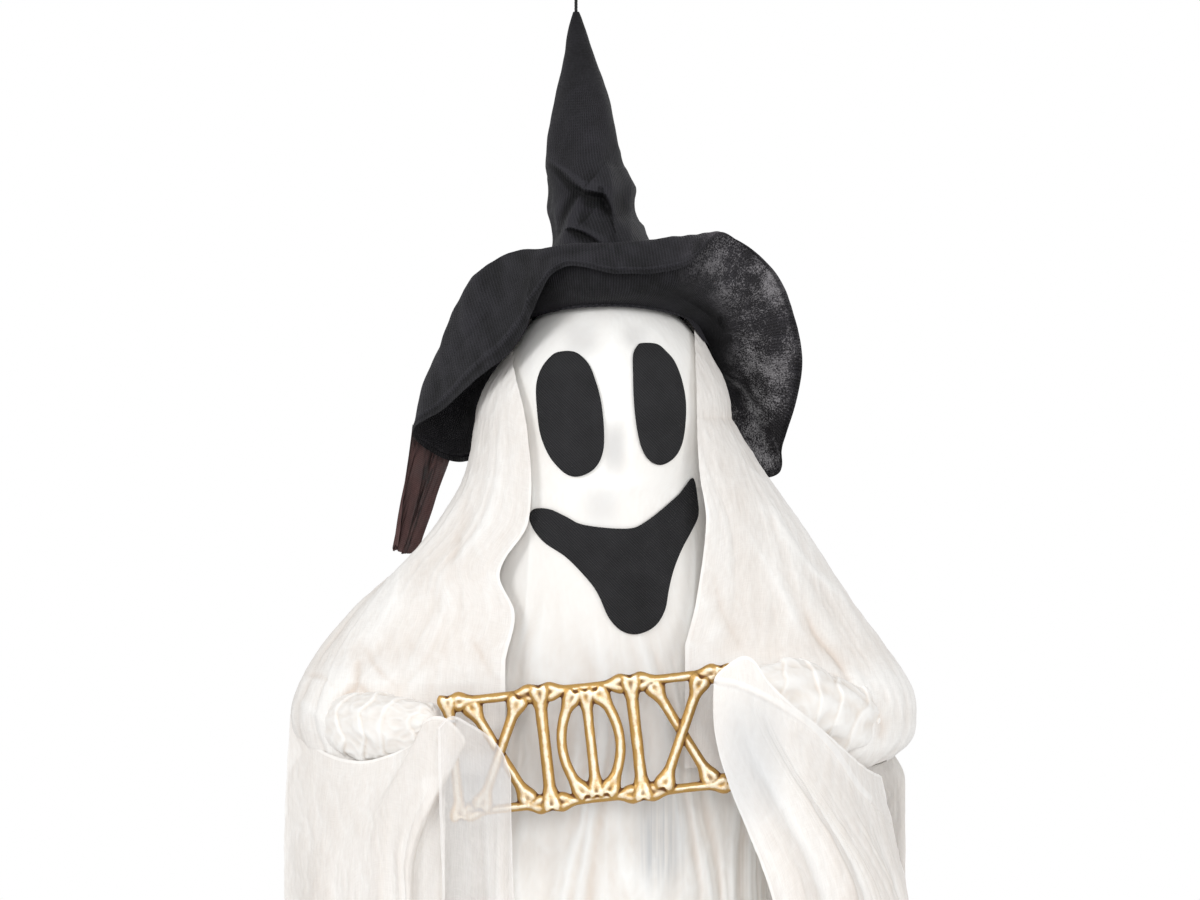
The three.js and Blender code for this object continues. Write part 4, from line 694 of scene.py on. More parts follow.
# Each spot of the face that shows through: its height, middle, half width and half height in pixels.
FACE_SPOTS = [
    (-2.4, 581, 338, 17, 17), (-2.0, 637, 334, 13, 13), (1.6, 614, 370, 12, 60),
    (-2.6, 615, 450, 11, 26, 3), (1.2, 621, 483, 30, 9), (-1.2, 601, 508, 20, 18),
]
BODY_CREASES = [
    ([(533, 470), (530, 560), (522, 650)], 1.4, 6), ([(688, 470), (694, 560), (690, 640)], 1.4, 6),
]
# Spots of painted grey shade: the moulding's hollows shading the cloth over them, and the shadow under the
# brim at the left.
SHADE_SPOTS = [
    (0.3, 581, 338, 17, 17, 3), (0.26, 637, 334, 12, 12, 3), (0.46, 615.5, 449, 10.5, 25, 3),
    (0.28, 601, 508, 18, 19, 3), (0.22, 500, 420, 16, 70, 3),
]


def by_height(*stations):
    """A smooth curve through (height, value) stations that run downwards."""
    heights, values = np.array(stations, float).T
    last = len(heights) - 1
    index = np.arange(last + 1)
    before, after = np.maximum(index - 1, 0), np.minimum(index + 1, last)
    slopes = (values[after] - values[before]) / (heights[after] - heights[before])

    def at(z):
        i = np.clip(np.searchsorted(-heights, -np.asarray(z, float)), 1, last)
        step = heights[i] - heights[i - 1]
        t = np.clip((z - heights[i - 1]) / step, 0, 1)
        bend = t * (1 - t) ** 2 * slopes[i - 1] - t * t * (1 - t) * slopes[i]
        return values[i - 1] + (values[i] - values[i - 1]) * t * t * (3 - 2 * t) + step * bend
    return at


robe_width = by_height(
    (HEAD_MID_Z, HALF_WIDTH + layer(1)), (SHOULDER_Z, HALF_WIDTH + 6), (ELBOW_Z, ROBE_HEM_HALF - 9),
    (HEM_Z, ROBE_HEM_HALF))
robe_front_depth = by_height(
    (HEAD_MID_Z, HALF_DEPTH + layer(1)), (SHOULDER_Z, HALF_DEPTH - 6), (SHOULDER_Z - 80, HALF_DEPTH - 18),
    (ELBOW_Z, HALF_DEPTH - 24), (HEM_Z, HALF_DEPTH - 16))
robe_back_depth = by_height(
    (HEAD_MID_Z, HALF_DEPTH + layer(1)), (SHOULDER_Z, HALF_DEPTH - 4), (ELBOW_Z, HALF_DEPTH - 20),
    (HEM_Z, HALF_DEPTH - 12))


def middle_at(z):
    """How far the head leans to the side, which the body doesn't."""
    return HEAD_SHIFT * (1 - ramp(HEAD_MID_Z, SHOULDER_Z, z))


def hem_at(u, phase):
    """The height of a torn hem."""
    return HEM_Z + HEM_TEAR + HEM_TEAR * np.sin(9 * u + phase) * np.cos(23 * u + phase)


def robe_points(front, size, seed):
    """The robe's panel and how far each place stands out of its fold."""
    u, v = grid(*size)
    grow = layer(1)
    a, b, h = grown_dome(grow)
    start = math.asin((CORD_HOLE + grow) / a)
    dome_z = HEAD_MID_Z + h * np.cos(start + (math.pi / 2 - start) * v / ROBE_DOME)
    down = np.clip((v - ROBE_DOME) / (1 - ROBE_DOME), 0, 1) ** 1.15
    fallen = (hem_at(u, 0.4 if front else 2.1) - HEAD_MID_Z) * down
    z = np.where(v > ROBE_DOME, HEAD_MID_Z + fallen, dome_z)
    k = np.clip((z - HEAD_MID_Z) / h, 0, 1)
    half = np.where(z < HEAD_MID_Z, robe_width(z), a * np.sqrt(1 - k * k))
    depth = robe_front_depth(z) if front else robe_back_depth(z)
    depth = np.where(z < HEAD_MID_Z, depth, b * np.sqrt(1 - k * k))
    top = SHOULDER_Z + 2 * SHOULDER_PAD
    bottom = SHOULDER_Z - 3 * ARM_RADIUS
    opening = 0.012 + 0.488 * ramp(top + 22, top, z) * ramp(bottom - 40, bottom, z)
    turn = opening + (math.pi - 2 * opening) * u
    side = -1 if front else 1
    loose = ramp(CHIN_Z + 6, ELBOW_Z - 60, z) * np.sqrt(np.sin(turn))
    folds = Noise(seed)
    warp = 0.35 * folds(turn * 2, z / 160 + 9)
    wide = folds((turn + warp) * 3.4, z / 420)
    narrow = folds((turn + warp) * 8.5, z / 260 + 5)
    pleat = 0.5 - np.abs(folds((turn + 0.5 * warp) * 15, z / 200 + 3))
    fold = loose * (7.0 * wide + 3.0 * narrow + 1.2 * pleat)
    points = np.stack([
        middle_at(z) - side * (half + 0.35 * fold) * np.cos(turn),
        side * ((depth + fold) * np.sin(turn) + FIT),
        z,
    ], axis=-1)
    return points, fold / 7


def crinkled(points, seed, coarse=1.0, fine=1.0):
    """The small creases of crushed gauze, in millimetres out of its surface."""
    creases = Noise(seed)
    x, y, z = (points[..., k] for k in range(3))
    broad = 0.35 - np.abs(creases(x / 17, y / 17, z / 30))
    small = 0.3 - np.abs(creases(x / 7 + 3, y / 7, z / 13))
    tiny = creases(x / 3, y / 3 + 5, z / 5)
    return coarse * (1.3 * broad + 0.6 * small) + 0.2 * fine * tiny


def pressed_out(points, amount):
    """Points moved along their normals, away from the figure's middle."""
    out = normals_of(points)
    outwards = np.sign((points * out)[..., :2].sum(axis=-1).mean())
    return points + out * (outwards * amount)[..., None]


def patch(pixels, x, y, wide, high, power=2.0):
    """A soft oblong spot in the photograph's pixels."""
    px, py = pixels
    return np.exp(-(np.abs((px - x) / wide) ** power) - (np.abs((py - y) / high) ** power))


def patches(pixels, rows):
    """The sum of some spots, each with its strength first."""
    return sum(strength * patch(pixels, *spot) for strength, *spot in rows)


robe_front, robe_fold = robe_points(True, ROBE_FRONT_GRID, 31)
pixels = seen(robe_front)
calm = ramp(CHIN_Z - 20, ELBOW_Z, robe_front[..., 2])
relief = sum([patches(pixels, FACE_SPOTS)] + [ridge_fold(pixels, *crease) for crease in BODY_CREASES])
robe_front = pressed_out(robe_front, relief + crinkled(robe_front, 32, 0.2 + 0.5 * calm, 0.5))
# Grey vertical streaks of painted shadow, where the works inside shade the robe.
streaked = 0.9 * patch(pixels, 660, 840, 22, 44, 3)
robe_back, back_fold = robe_points(False, ROBE_BACK_GRID, 33)
robe_back = pressed_out(robe_back, crinkled(robe_back, 34))


def white_cloth(name, light, shade, opacity=1.0, thread=1.0):
    """White gauze: single threads that swell and thin, with painted shade in fold valleys, a painted
    highlight on ridges and hems, and painted grey shade where a mask marks it.
    """
    finish = Finish(name, Roughness=0.92, Specular_IOR_Level=0.1)
    warp = finish.noise(finish.place((1400, 90, 1), uv=True), 1.0, 1.0) - 0.5
    weft = finish.noise(finish.place((90, 1400, 1), uv=True), 1.0, 1.0) - 0.5
    slub = finish.noise(finish.place((760, 34, 1), uv=True), 1.0, 2.0) - 0.5
    cloud = finish.noise(finish.place(), 12.0, 3.0, 0.6) - 0.5
    weave = warp * 0.6 + weft * 0.4
    fold, hem = finish.attribute("fold"), finish.attribute("hem")
    # Fold valleys take the shade colour and ridges and hems the light one, as painted shade and painted
    # highlight; the cloud is random tone.
    tone = 0.7 + fold * 0.45 + cloud * 0.35 + slub * 0.08 * thread + weave * 0.2 * thread + hem * 0.2
    colour = finish.blend(tone.clipped(), shade, light)
    # Painted grey shade, from the mask and from the streaks of painted shadow.
    streak = finish.noise(finish.place((330, 330, 5)), 1.0, 1.0) * 1.8 - 0.4
    grey = (finish.attribute("thin") + finish.attribute("streaked") * streak).clipped()
    links = {
        "Base_Color": finish.blend(grey, colour, paint(190, 194, 198)),
        "Normal": finish.bump(weave + slub * 0.2, 0.25 * thread, 0.0005),
    }
    if opacity < 1:
        cover = opacity + hem * 0.35 + grey * 0.6 + weave * 0.2 + slub * 0.05 + cloud * 0.15
        links["Alpha"] = cover.clipped()
    return finish.feeds(**links)


robe_cloth = white_cloth("cloth_white", paint(252, 252, 250), paint(230, 220, 210), thread=0.5)
# Each panel's fold attribute sets its painted shade in the fold valleys.
robe = {
    "robe_front": mesh_of(
        "robe_front_cloth", robe_front, fold=0.8 * robe_fold + raised(robe_front, steps=(2, 9)),
        thin=patches(pixels, SHADE_SPOTS), streaked=streaked),
    "robe_back": mesh_of(
        "robe_back_cloth", robe_back, fold=0.45 * back_fold + 0.45 * raised(robe_back, steps=(3, 12))),
}
for node, piece in robe.items():
    in_place_of(node, piece, robe_cloth)

# The face: two eyes and a wide open mouth, cut from black twill-woven cloth and glued on the
# robe. They lie on the robe wherever it is, each with a clean cut edge.
LEFT_EYE = [(558, 352), (575, 352), (588, 363), (595, 379), (601, 401), (604, 429), (603, 452), (595, 468),
            (581, 476), (568, 475), (556, 465), (547, 452), (540, 433), (537, 410), (536, 387), (540, 371),
            (548, 359)]
RIGHT_EYE = [(642, 343), (657, 344), (667, 352), (675, 362), (682, 380), (686, 403), (685, 429), (681, 447),
             (673, 459), (661, 465), (650, 461), (642, 449), (637, 429), (634, 403), (633, 374), (633, 355),
             (637, 346)]
MOUTH = [(693, 478), (698, 502), (698, 517), (691, 532), (682, 549), (674, 569), (669, 589), (665, 610),
         (655, 626), (638, 634), (622, 631), (609, 618), (599, 596), (589, 581), (567, 558), (545, 543),
         (534, 530), (529, 517), (534, 509), (549, 509), (565, 516), (581, 524), (609, 528), (632, 528),
         (645, 522), (661, 510), (680, 493)]
PATCH_LIFT, PATCH_THICKNESS = 1.1, 0.9


def tree_of(piece):
    """A piece's skin as a tree in which the camera's lines are looked up."""
    corners = [corner.co.copy() for corner in piece.data.vertices]
    return BVHTree.FromPolygons(corners, [tuple(face.vertices) for face in piece.data.polygons])


robe_tree = tree_of(robe["robe_front"])


def on_cloth(tree, px, py):
    """Where the camera's line through a pixel meets a cloth, in the figure's millimetres."""
    way = Vector(((px - FRAME_MIDDLE[0]) * PIXEL, -CAMERA_AT[1], -(py - FRAME_MIDDLE[1]) * PIXEL))
    hit = tree.ray_cast(Vector(CAMERA_AT) * MM, way.normalized())[0]
    return hit and np.array(hit) * 1000 - MIDLINE


def face_patch(node, outline, hub, rings):
    """A patch of thick cloth with a cut edge, laid on the robe inside an outline."""
    outline = smooth_line(outline, 200, closed=True)
    shares = np.linspace(0, 1, rings + 1)[1:] ** 0.8
    hub = np.array(hub, float)
    flat = np.array([[on_cloth(robe_tree, *(hub + (p - hub) * s)) for p in outline] for s in shares])
    face = flat.copy()
    face[..., 1] -= PATCH_LIFT + PATCH_THICKNESS
    face[-1, :, 1] += 0.25
    edge = flat[-1:].copy()
    edge[..., 1] -= PATCH_LIFT
    under = flat[::-1].copy()
    under[..., 1] -= PATCH_LIFT
    skin = np.concatenate([face, edge, under[1:]])
    piece = mesh_of(f"{node}_cloth", skin, wrap=True, caps=True)
    in_place_of(node, piece, felt_black)


felt = Finish("felt_black", Roughness=0.88, Specular_IOR_Level=0.2)
sideways = felt.node("ShaderNodeSeparateXYZ", {}, {"Vector": felt.place()}, 0)
upwards = felt.node("ShaderNodeSeparateXYZ", {}, {"Vector": felt.place()}, 2)
twill = ((sideways + upwards) * (math.tau / 0.0023)).maths("SINE")
counter = ((sideways - upwards) * (math.tau / 0.0016)).maths("SINE")
felt_weave = twill * 0.6 + counter * 0.4
felt_tone = felt.noise(felt.place(), 55.0, 3.0)
felt_black = felt.feeds(
    Base_Color=felt.blend(
        (felt_weave * 0.3 + felt_tone * 0.5 + 0.2).clipped(), paint(20, 20, 21), paint(58, 58, 60)),
    Normal=felt.bump(felt_weave, 0.7, 0.0004))
face_patch("eye_left", LEFT_EYE, (571, 414), 16)
face_patch("eye_right", RIGHT_EYE, (658, 404), 16)
face_patch("mouth", MOUTH, (634, 556), 28)

# The arms: two stuffed limbs wound with strips of gauze over a wire, bent at the elbows so that
# the hands meet the sign. The right one is thicker and fluffier, where its wadding has worked out.
SHOULDER_HALF, ELBOW_HALF, ELBOW_FORWARD = 98.0, 209.0, 10.0
ELBOW_RADIUS, WRIST_RADIUS = 13.0, 12.0
WRISTS = {"left": np.array([-120.16, -110, -604.26]), "right": np.array([97.14, -110, -582.08])}
WAY = {"left": -1, "right": 1}
FOREARM_STEPS, FOREARM_SIDES = 240, 130
UPPER_STEPS, UPPER_SIDES = 150, 90


def bezier(a, b, c, count):
    """Places on a bow from one point to another, drawn towards a third."""
    t = np.linspace(0, 1, count)[:, None]
    return a * (1 - t) ** 2 + 2 * b * t * (1 - t) + c * t ** 2


def shoulder_of(side):
    return np.array([WAY[side] * SHOULDER_HALF, 0, SHOULDER_Z])


def elbow_of(side):
    return np.array([WAY[side] * ELBOW_HALF, -ELBOW_FORWARD, ELBOW_Z])


def forearm_line(side):
    elbow, wrist = elbow_of(side), WRISTS[side]
    bow = (elbow + wrist) / 2 + np.array([WAY[side] * 9, -7, 0])
    return bezier(elbow, bow, wrist, FOREARM_STEPS)


def wound(length, start, swell, end, pitch, seed, wadding):
    """The radius of a stuffed limb wound with gauze: round ends, overlapping turns and tucks."""
    tucks = Noise(seed)

    def at(turn, distance):
        t = np.clip(distance / length, 0, 1)
        body = start + (swell - start) * ramp(0, 0.45, t) + (end - swell) * ramp(0.55, 1, t)
        ball = np.sqrt(np.clip(1 - ((start - distance) / start) ** 2, 0, 1))
        tail = np.sqrt(np.clip(1 - ((distance - length + end) / end) ** 2, 0, 1))
        cap = np.where(distance < start, ball, np.where(distance > length - end, tail, 1))
        x, y = np.cos(turn), np.sin(turn)
        slack = 0.35 * tucks(x * 1.3, y * 1.3, distance / 40)
        band = (distance / pitch + turn / math.tau + slack) % 1
        overlap = 1.6 * (band - ramp(0.9, 1.0, band))
        crease = 0.4 - np.abs(tucks(x * 2.4, y * 2.4 + 3, distance / 14))
        puff = tucks(x * 1.6 + 7, y * 1.6, distance / 26)
        small = tucks(x * 6, y * 6, distance / 6)
        return (body + overlap + 1.3 * crease + (1.0 + wadding) * puff + 0.3 * small) * cap + 0.02
    return at


padding = white_cloth("padding_white", paint(250, 248, 245), paint(228, 217, 205), thread=0.4)
limbs = {}
for seed, (side, wadding) in enumerate((("left", 0.6), ("right", 2.2)), 41):
    path = forearm_line(side)
    onward = (path[1] - path[0]) / np.linalg.norm(path[1] - path[0])
    path = np.concatenate([path[:1] - onward * np.linspace(ELBOW_RADIUS, 0.4, 14)[:, None], path])
    length = np.linalg.norm(np.diff(path, axis=0), axis=1).sum()
    swell = ARM_RADIUS + (3.5 if side == "right" else 0)
    radius = wound(length, ELBOW_RADIUS, swell, WRIST_RADIUS, 24, seed, wadding)
    skin = tube(path, radius, FOREARM_SIDES)
    along = np.linspace(0, 1, len(path))[:, None]
    above = skin[..., 2] - path[:, None, 2]
    skin[..., 2] += 0.5 * np.minimum(above, 0) * ramp(0, 0.3, along) * ramp(1.05, 0.8, along)
    if side == "right":
        skin[..., 2] += 0.62 * np.maximum(above, 0) * np.exp(-((along - 0.8) / 0.2) ** 2)
    # On both forearms and upper arms the fold attribute paints shade into the wraps' creases.
    relief = 1.3 * raised(skin, True, (2, 5))
    forearm = mesh_of(f"forearm_{side}_wrap", skin, wrap=True, caps=True, fold=relief)
    limbs[side] = tree_of(forearm)
    in_place_of(f"forearm_{side}", forearm, padding, "arms")
    elbow, shoulder = elbow_of(side), shoulder_of(side)
    path = np.linspace(shoulder, elbow + unit(shoulder - elbow) * 12, UPPER_STEPS)
    length = np.linalg.norm(path[-1] - path[0])
    radius = wound(length, SHOULDER_PAD, 15.5, ELBOW_RADIUS, 26, seed + 10, 0.2)
    skin = tube(path, radius, UPPER_SIDES)
    upper = mesh_of(f"upper_arm_{side}_wrap", skin, wrap=True, caps=True, fold=raised(skin, True))
    in_place_of(f"upper_arm_{side}", upper, padding)

# The cape: loose gauze that hangs from under the hat over shoulders and elbows, open in front to
# frame the face. On the right the real cape has a second, sheerer layer standing off outside the first;
# only a ridge along its edge stands for it here.
COVER = ELBOW_HALF + ARM_RADIUS
CAPE_TUCK = 5.0
CAPE_GRID = (330, 260)
HEM_BAND = 1.8
# The cape's half width and the distance of its front edge from the middle, by height.
cape_half = {
    "left": by_height(
        (HEAD_MID_Z, HALF_WIDTH + 13), (HEAD_MID_Z - 40, HALF_WIDTH + 21), (SHOULDER_Z + 8, 124),
        (SHOULDER_Z - 24, 150), (SHOULDER_Z - 62, COVER - 37), (SHOULDER_Z - 102, COVER - 7),
        (ELBOW_Z + 8, COVER + 5), (ELBOW_Z - 10, COVER + 3), (ELBOW_Z - 36, COVER - 10)),
    "right": by_height(
        (HEAD_MID_Z, HALF_WIDTH + 14), (HEAD_MID_Z - 40, HALF_WIDTH + 38), (SHOULDER_Z + 4, 148),
        (SHOULDER_Z - 52, COVER - 42), (SHOULDER_Z - 88, COVER - 15), (ELBOW_Z + 22, COVER + 4),
        (ELBOW_Z - 4, COVER + 6), (ELBOW_Z - 18, COVER + 1), (ELBOW_Z - 29, COVER - 12),
        (ELBOW_Z - 38, COVER - 27)),
}
cape_edge = {
    "left": by_height(
        (HEAD_MID_Z + 40, 66), (HEAD_MID_Z - 16, 54), (SHOULDER_Z + 8, 54), (SHOULDER_Z - 29, 75),
        (SHOULDER_Z - 59, 64), (SHOULDER_Z - 93, 71)),
    "right": by_height(
        (HEAD_MID_Z + 50, 68), (HEAD_MID_Z - 38, 70), (SHOULDER_Z + 8, 75), (SHOULDER_Z - 52, 68),
        (SHOULDER_Z - 82, 60)),
}
cape_round = by_height(
    (HEAD_MID_Z - 44, 2), (SHOULDER_Z - 32, 1.6), (SHOULDER_Z - 84, 1.7), (ELBOW_Z + 30, 2.3))


def cape_points(side, seed):
    """Half of the cape, from its front edge to the middle of the back, and its fold heights."""
    way = WAY[side]
    u, v = grid(*CAPE_GRID)
    grow = layer(2) + CAPE_EASE
    a, b, h = grown_dome(grow)
    top = seam_height(-HALF_DEPTH * 0.25 + HALF_DEPTH * 1.15 * ramp(0, 1, u)) + CAPE_TUCK
    top = top - 9 * (1 - ramp(0.0, 0.1, u))
    bottom = ELBOW_Z - 36 + 5 * np.sin(17 * u + way) * np.cos(31 * u)
    z = top + (bottom - top) * v ** 1.25
    k = np.clip((z - HEAD_MID_Z) / h, 0, 1)
    ring = np.sqrt(1 - k * k)
    settle = ramp(HEAD_MID_Z + 50, HEAD_MID_Z, z)
    middle = middle_at(z)
    half = a * ring + (cape_half[side](z) - way * middle - a * ring) * settle
    flat = cape_round(z)
    edge = np.arccos(np.clip((cape_edge[side](z) - way * middle) / half, 0, 1) ** (flat / 2))
    turn = edge + (0.012 - math.pi / 2 - edge) * u
    ahead = turn > 0
    rise = layer(2) - layer(1) + CAPE_EASE
    below = np.where(ahead, robe_front_depth(z), robe_back_depth(z)) + rise
    depth = np.where(z > HEAD_MID_Z, b * ring, below) + np.where(ahead, 0, 4 * settle)
    room = ROBE_FOLD * ramp(CHIN_Z + 6, ELBOW_Z - 60, z)
    folds = Noise(seed)
    loose = ramp(HEAD_MID_Z + 30, SHOULDER_Z - 20, z)
    warp = 0.05 * folds(u * 5, v * 2 + 4)
    wide = folds((u + warp) * 9, v * 1.2)
    narrow = folds((u + warp) * 23, v * 2.0 + 7)
    pleat = 0.5 - np.abs(folds((u + warp) * 34, v * 2.4 + 2))
    fold = (0.1 + loose) * (3.4 * wide + 1.1 * narrow + 0.8 * pleat)
    cos, sin = np.cos(turn), np.sin(turn)
    points = np.stack([
        middle + way * (half + fold) * np.abs(cos) ** (2 / flat),
        -(depth + room + np.abs(fold)) * np.sign(sin) * np.abs(sin) ** (2 / flat),
        z,
    ], axis=-1)
    return points, fold / 4


def hems(points, sides=True, top=True):
    """How near each place is to a folded hem at a sheet's free sides or its top edge."""
    across = np.linalg.norm(np.diff(points, axis=1, prepend=points[:, :1]), axis=2).cumsum(axis=1)
    down = np.linalg.norm(np.diff(points, axis=0, prepend=points[:1]), axis=2).cumsum(axis=0)
    near = np.full(points.shape[:2], 100.0)
    if sides:
        near = np.minimum(across, across[:, -1:] - across)
    if top:
        near = np.minimum(near, down)
    return 1 - ramp(HEM_BAND, HEM_BAND + 0.8, near)


CAPE_CREASES = {
    "left": [
        ([(365, 646), (372, 662), (385, 677), (396, 686)], -1.0, 3),
        ([(358, 655), (355, 684), (344, 698), (333, 714)], -3.2, 6),
        ([(357, 684), (366, 693), (376, 706), (384, 712)], -1.8, 4),
        ([(302, 673), (321, 677), (338, 689)], -1.2, 4),
        ([(300, 700), (318, 716), (345, 742)], 1.6, 5),
        ([(400, 565), (388, 610), (362, 650)], 1.5, 9),
        ([(470, 470), (452, 560), (420, 640)], -1.2, 10),
        ([(473, 640), (482, 657), (493, 678)], -1.0, 4),
        ([(452, 600), (432, 650), (398, 692)], -1.0, 6),
    ],
    "right": [
        ([(803, 606), (816, 634), (836, 657), (848, 677), (854, 699)], -3.0, 6),
        ([(824, 676), (834, 675), (844, 678)], -1.2, 3), ([(826, 679), (838, 692), (849, 702)], -1.4, 3),
        ([(855, 700), (872, 709), (883, 727), (877, 743)], -1.8, 4),
        ([(740, 520), (775, 580), (806, 640)], 1.3, 9),
        ([(766, 506), (787, 533), (809, 566), (844, 600)], 1.4, 4),
        ([(712, 560), (722, 610), (742, 650)], -1.3, 8), ([(690, 560), (689, 600), (694, 640)], -1.0, 5),
    ],
}
cape_gauze = white_cloth("gauze_white", paint(250, 248, 245), paint(228, 217, 207), 0.92)
sheer_gauze = white_cloth("gauze_sheer", paint(247, 245, 243), paint(222, 214, 208), 0.5)
for side, seed in (("left", 61), ("right", 62)):
    points, fold = cape_points(side, seed)
    pixels = seen(points)
    crease = sum(ridge_fold(pixels, *crease) for crease in CAPE_CREASES[side]) * (points[..., 1] < 0)
    points = pressed_out(points, crease + crinkled(points, seed + 4, 0.7, 0.7))
    # The hems are painted lighter, a painted highlight over their real doubled cover, and the fold
    # attribute paints shade into the valleys.
    edge = hems(points, top=False) * ramp(HEAD_MID_Z - 20, CHIN_Z - 30, points[..., 2])
    relief = 0.6 * fold + 0.35 * crease + raised(points, steps=(2, 9))
    cape = mesh_of(f"cape_{side}_gauze", points, fold=relief, hem=edge)
    in_place_of(f"cape_{side}", cape, cape_gauze, None)
    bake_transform(cape)

# The sleeves: straight falls of gauze from the forearms to a torn hem, the right one with a wide
# bell cuff and a stitched hem band, and a sheer strip that hangs before the sign's left end.
OUTER = COVER + 8
SLEEVE_GRID, VEIL_GRID, BACK_GRID = (280, 280), (130, 260), (200, 240)
# Where cloth is laid over an arm: the rows from its top that are looked at, and how far it eases.
LAID_ROWS, LAID_EASE = 60, 24
sleeve_rough = Noise(71)


def fall(top, hem_line, phase, folds, size, depth=6.0, spread=(0, 0.5)):
    """A fall of gauze from its top edge to a torn hem over a plan line, with opening folds."""
    u, v = grid(*size)
    start = top[None]
    end = smooth_line([(x, y, 0) for x, y in hem_line], size[0])[None]
    across = unit(np.gradient(end[0], axis=0))[None]
    spread = ramp(*spread, v)
    pinned = ramp(0.02, 0.35, v) * np.sqrt(np.sin(math.pi * np.clip(u, 0.001, 0.999)))
    regular = np.sin(math.pi * folds * u + phase)
    loose = sleeve_rough(u * folds * 1.1, v * 1.1 + phase)
    narrow = sleeve_rough(u * folds * 3.1 + 4, v * 1.8 + phase)
    pleat = 0.5 - np.abs(sleeve_rough(u * folds * 4.3, v * 2.2 + 2 * phase))
    wave = pinned * (depth * (0.45 * regular + 1.1 * loose + 0.3 * narrow) + 1.2 * pleat)
    points = np.stack([
        start[..., 0] + (end[..., 0] - start[..., 0]) * spread - across[..., 1] * wave,
        start[..., 1] + (end[..., 1] - start[..., 1]) * spread + across[..., 0] * wave,
        start[..., 2] + (hem_at(u, phase) - start[..., 2]) * v,
    ], axis=-1)
    return points, wave / depth


def at_pixel(px, py, y):
    """The place at a depth that the camera sees at a pixel of the photograph."""
    near = PIXEL * (1 + y / -CAMERA_AT[1])
    return (CAMERA_AT[0] - MIDLINE[0] + (px - FRAME_MIDDLE[0]) * near, y,
            CAMERA_AT[2] - (py - FRAME_MIDDLE[1]) * near)


LEFT_TOP = [
    (-233, -3, -606), (-206, -38, -630), (-166, -76, -636), *[at_pixel(*place) for place in (
        (432, 744, -112), (440, 722, -128), (455, 717, -132), (472, 727, -133), (483, 741, -134),
        (476, 746, -122), (462, 746, -112), (446, 748, -106))],
]
LEFT_HEM = [
    (-OUTER - 3, -2), (14 - OUTER, -30), (-204, -56), (-186, -72), (-168, -86), (-154, -96), (-146, -103),
    (-141, -107), (-136, -98), (-126, -90), (-115, -86),
]
RIGHT_TOP = [at_pixel(*place) for place in (
    (713, 692, -133), (715, 677, -134), (727, 665, -134), (742, 656, -133), (754, 660, -130),
    (767, 679, -127), (788, 701, -120), (814, 724, -106), (838, 748, -84), (858, 768, -54),
    (872, 776, -10))]
RIGHT_HEM = [(127, -130), (155, -118), (188, -92), (214, -56), (OUTER - 6, -24), (OUTER, -2)]
RIGHT_FOLD = [
    (719, 683), (738, 687), (761, 697), (786, 711), (809, 727), (833, 753), (855, 786), (866, 798)]
VEIL_TOP = [at_pixel(*place) for place in (
    (438, 727, -134), (452, 716, -135), (472, 725, -136), (490, 737, -136), (503, 753, -136),
    (511, 776, -136))]
VEIL_HEM = [(-114, -126), (-98, -135), (-80, -137), (-62, -135)]
BACK_HEMS = {
    "left": [(-OUTER, -0.9), (-208, 28), (-170, 34), (-136, 30)],
    "right": [(OUTER - 9, -0.9), (204, 28), (160, 34), (116, 30)],
}


def back_top(side, columns):
    """The top edge of a back fall, on the underside of an upper arm."""
    shoulder, elbow = shoulder_of(side), elbow_of(side)
    run = np.linalg.norm(shoulder - elbow) / abs(elbow[0] - shoulder[0])
    t = np.linspace(0.8, 0.3, columns)
    radius = SHOULDER_PAD + (ELBOW_RADIUS - SHOULDER_PAD) * t + 3 * np.sin(math.pi * t)
    drop = np.sqrt(radius ** 2 - 5.2 ** 2) * run
    place = shoulder + (elbow - shoulder) * t[:, None]
    return place + np.stack([0 * t, 6 + 0 * t, -drop - FIT], axis=1)


def laid_over(points, limb, share):
    """Cloth brought in front of a limb wherever the limb would stand before it, near its top."""
    need = np.zeros(points.shape[:2])
    px, py = seen(points)
    for i, j in itertools.product(range(LAID_ROWS), range(points.shape[1])):
        hit = on_cloth(limb, px[i, j], py[i, j]) if share[j] > 0 else None
        if hit is not None:
            need[i, j] = max(points[i, j, 1] - hit[1] + CLOTH, 0) * share[j]
    for _ in range(LAID_EASE):
        wide = np.pad(need, 1, mode="edge")
        around = (wide[2:, 1:-1] + wide[:-2, 1:-1] + wide[1:-1, 2:] + wide[1:-1, :-2]) / 4
        need = np.maximum(need, 0.985 * around)
    moved = points.copy()
    moved[..., 1] -= need
    return moved


right_spread = (0.03 - 0.22 * np.linspace(0, 1, SLEEVE_GRID[0]) ** 3, 0.45)
left_edge, right_edge = (smooth_line(line, SLEEVE_GRID[0]) for line in (LEFT_TOP, RIGHT_TOP))
veil_edge = smooth_line(VEIL_TOP, VEIL_GRID[0])
falls = {
    "sleeve_left": fall(left_edge, LEFT_HEM, 0.6, 5, SLEEVE_GRID, spread=(-0.12, 0.27)),
    "sleeve_right": fall(right_edge, RIGHT_HEM, 2.4, 7, SLEEVE_GRID, spread=right_spread),
    "cuff_veil": fall(veil_edge, VEIL_HEM, 4.2, 3, VEIL_GRID, 3.0),
}
for side, phase in (("left", 1.3), ("right", 3.3)):
    back_edge = back_top(side, BACK_GRID[0])
    falls[f"sleeve_back_{side}"] = fall(
        back_edge, BACK_HEMS[side], phase, 4, BACK_GRID, spread=(-0.04, 0.14))
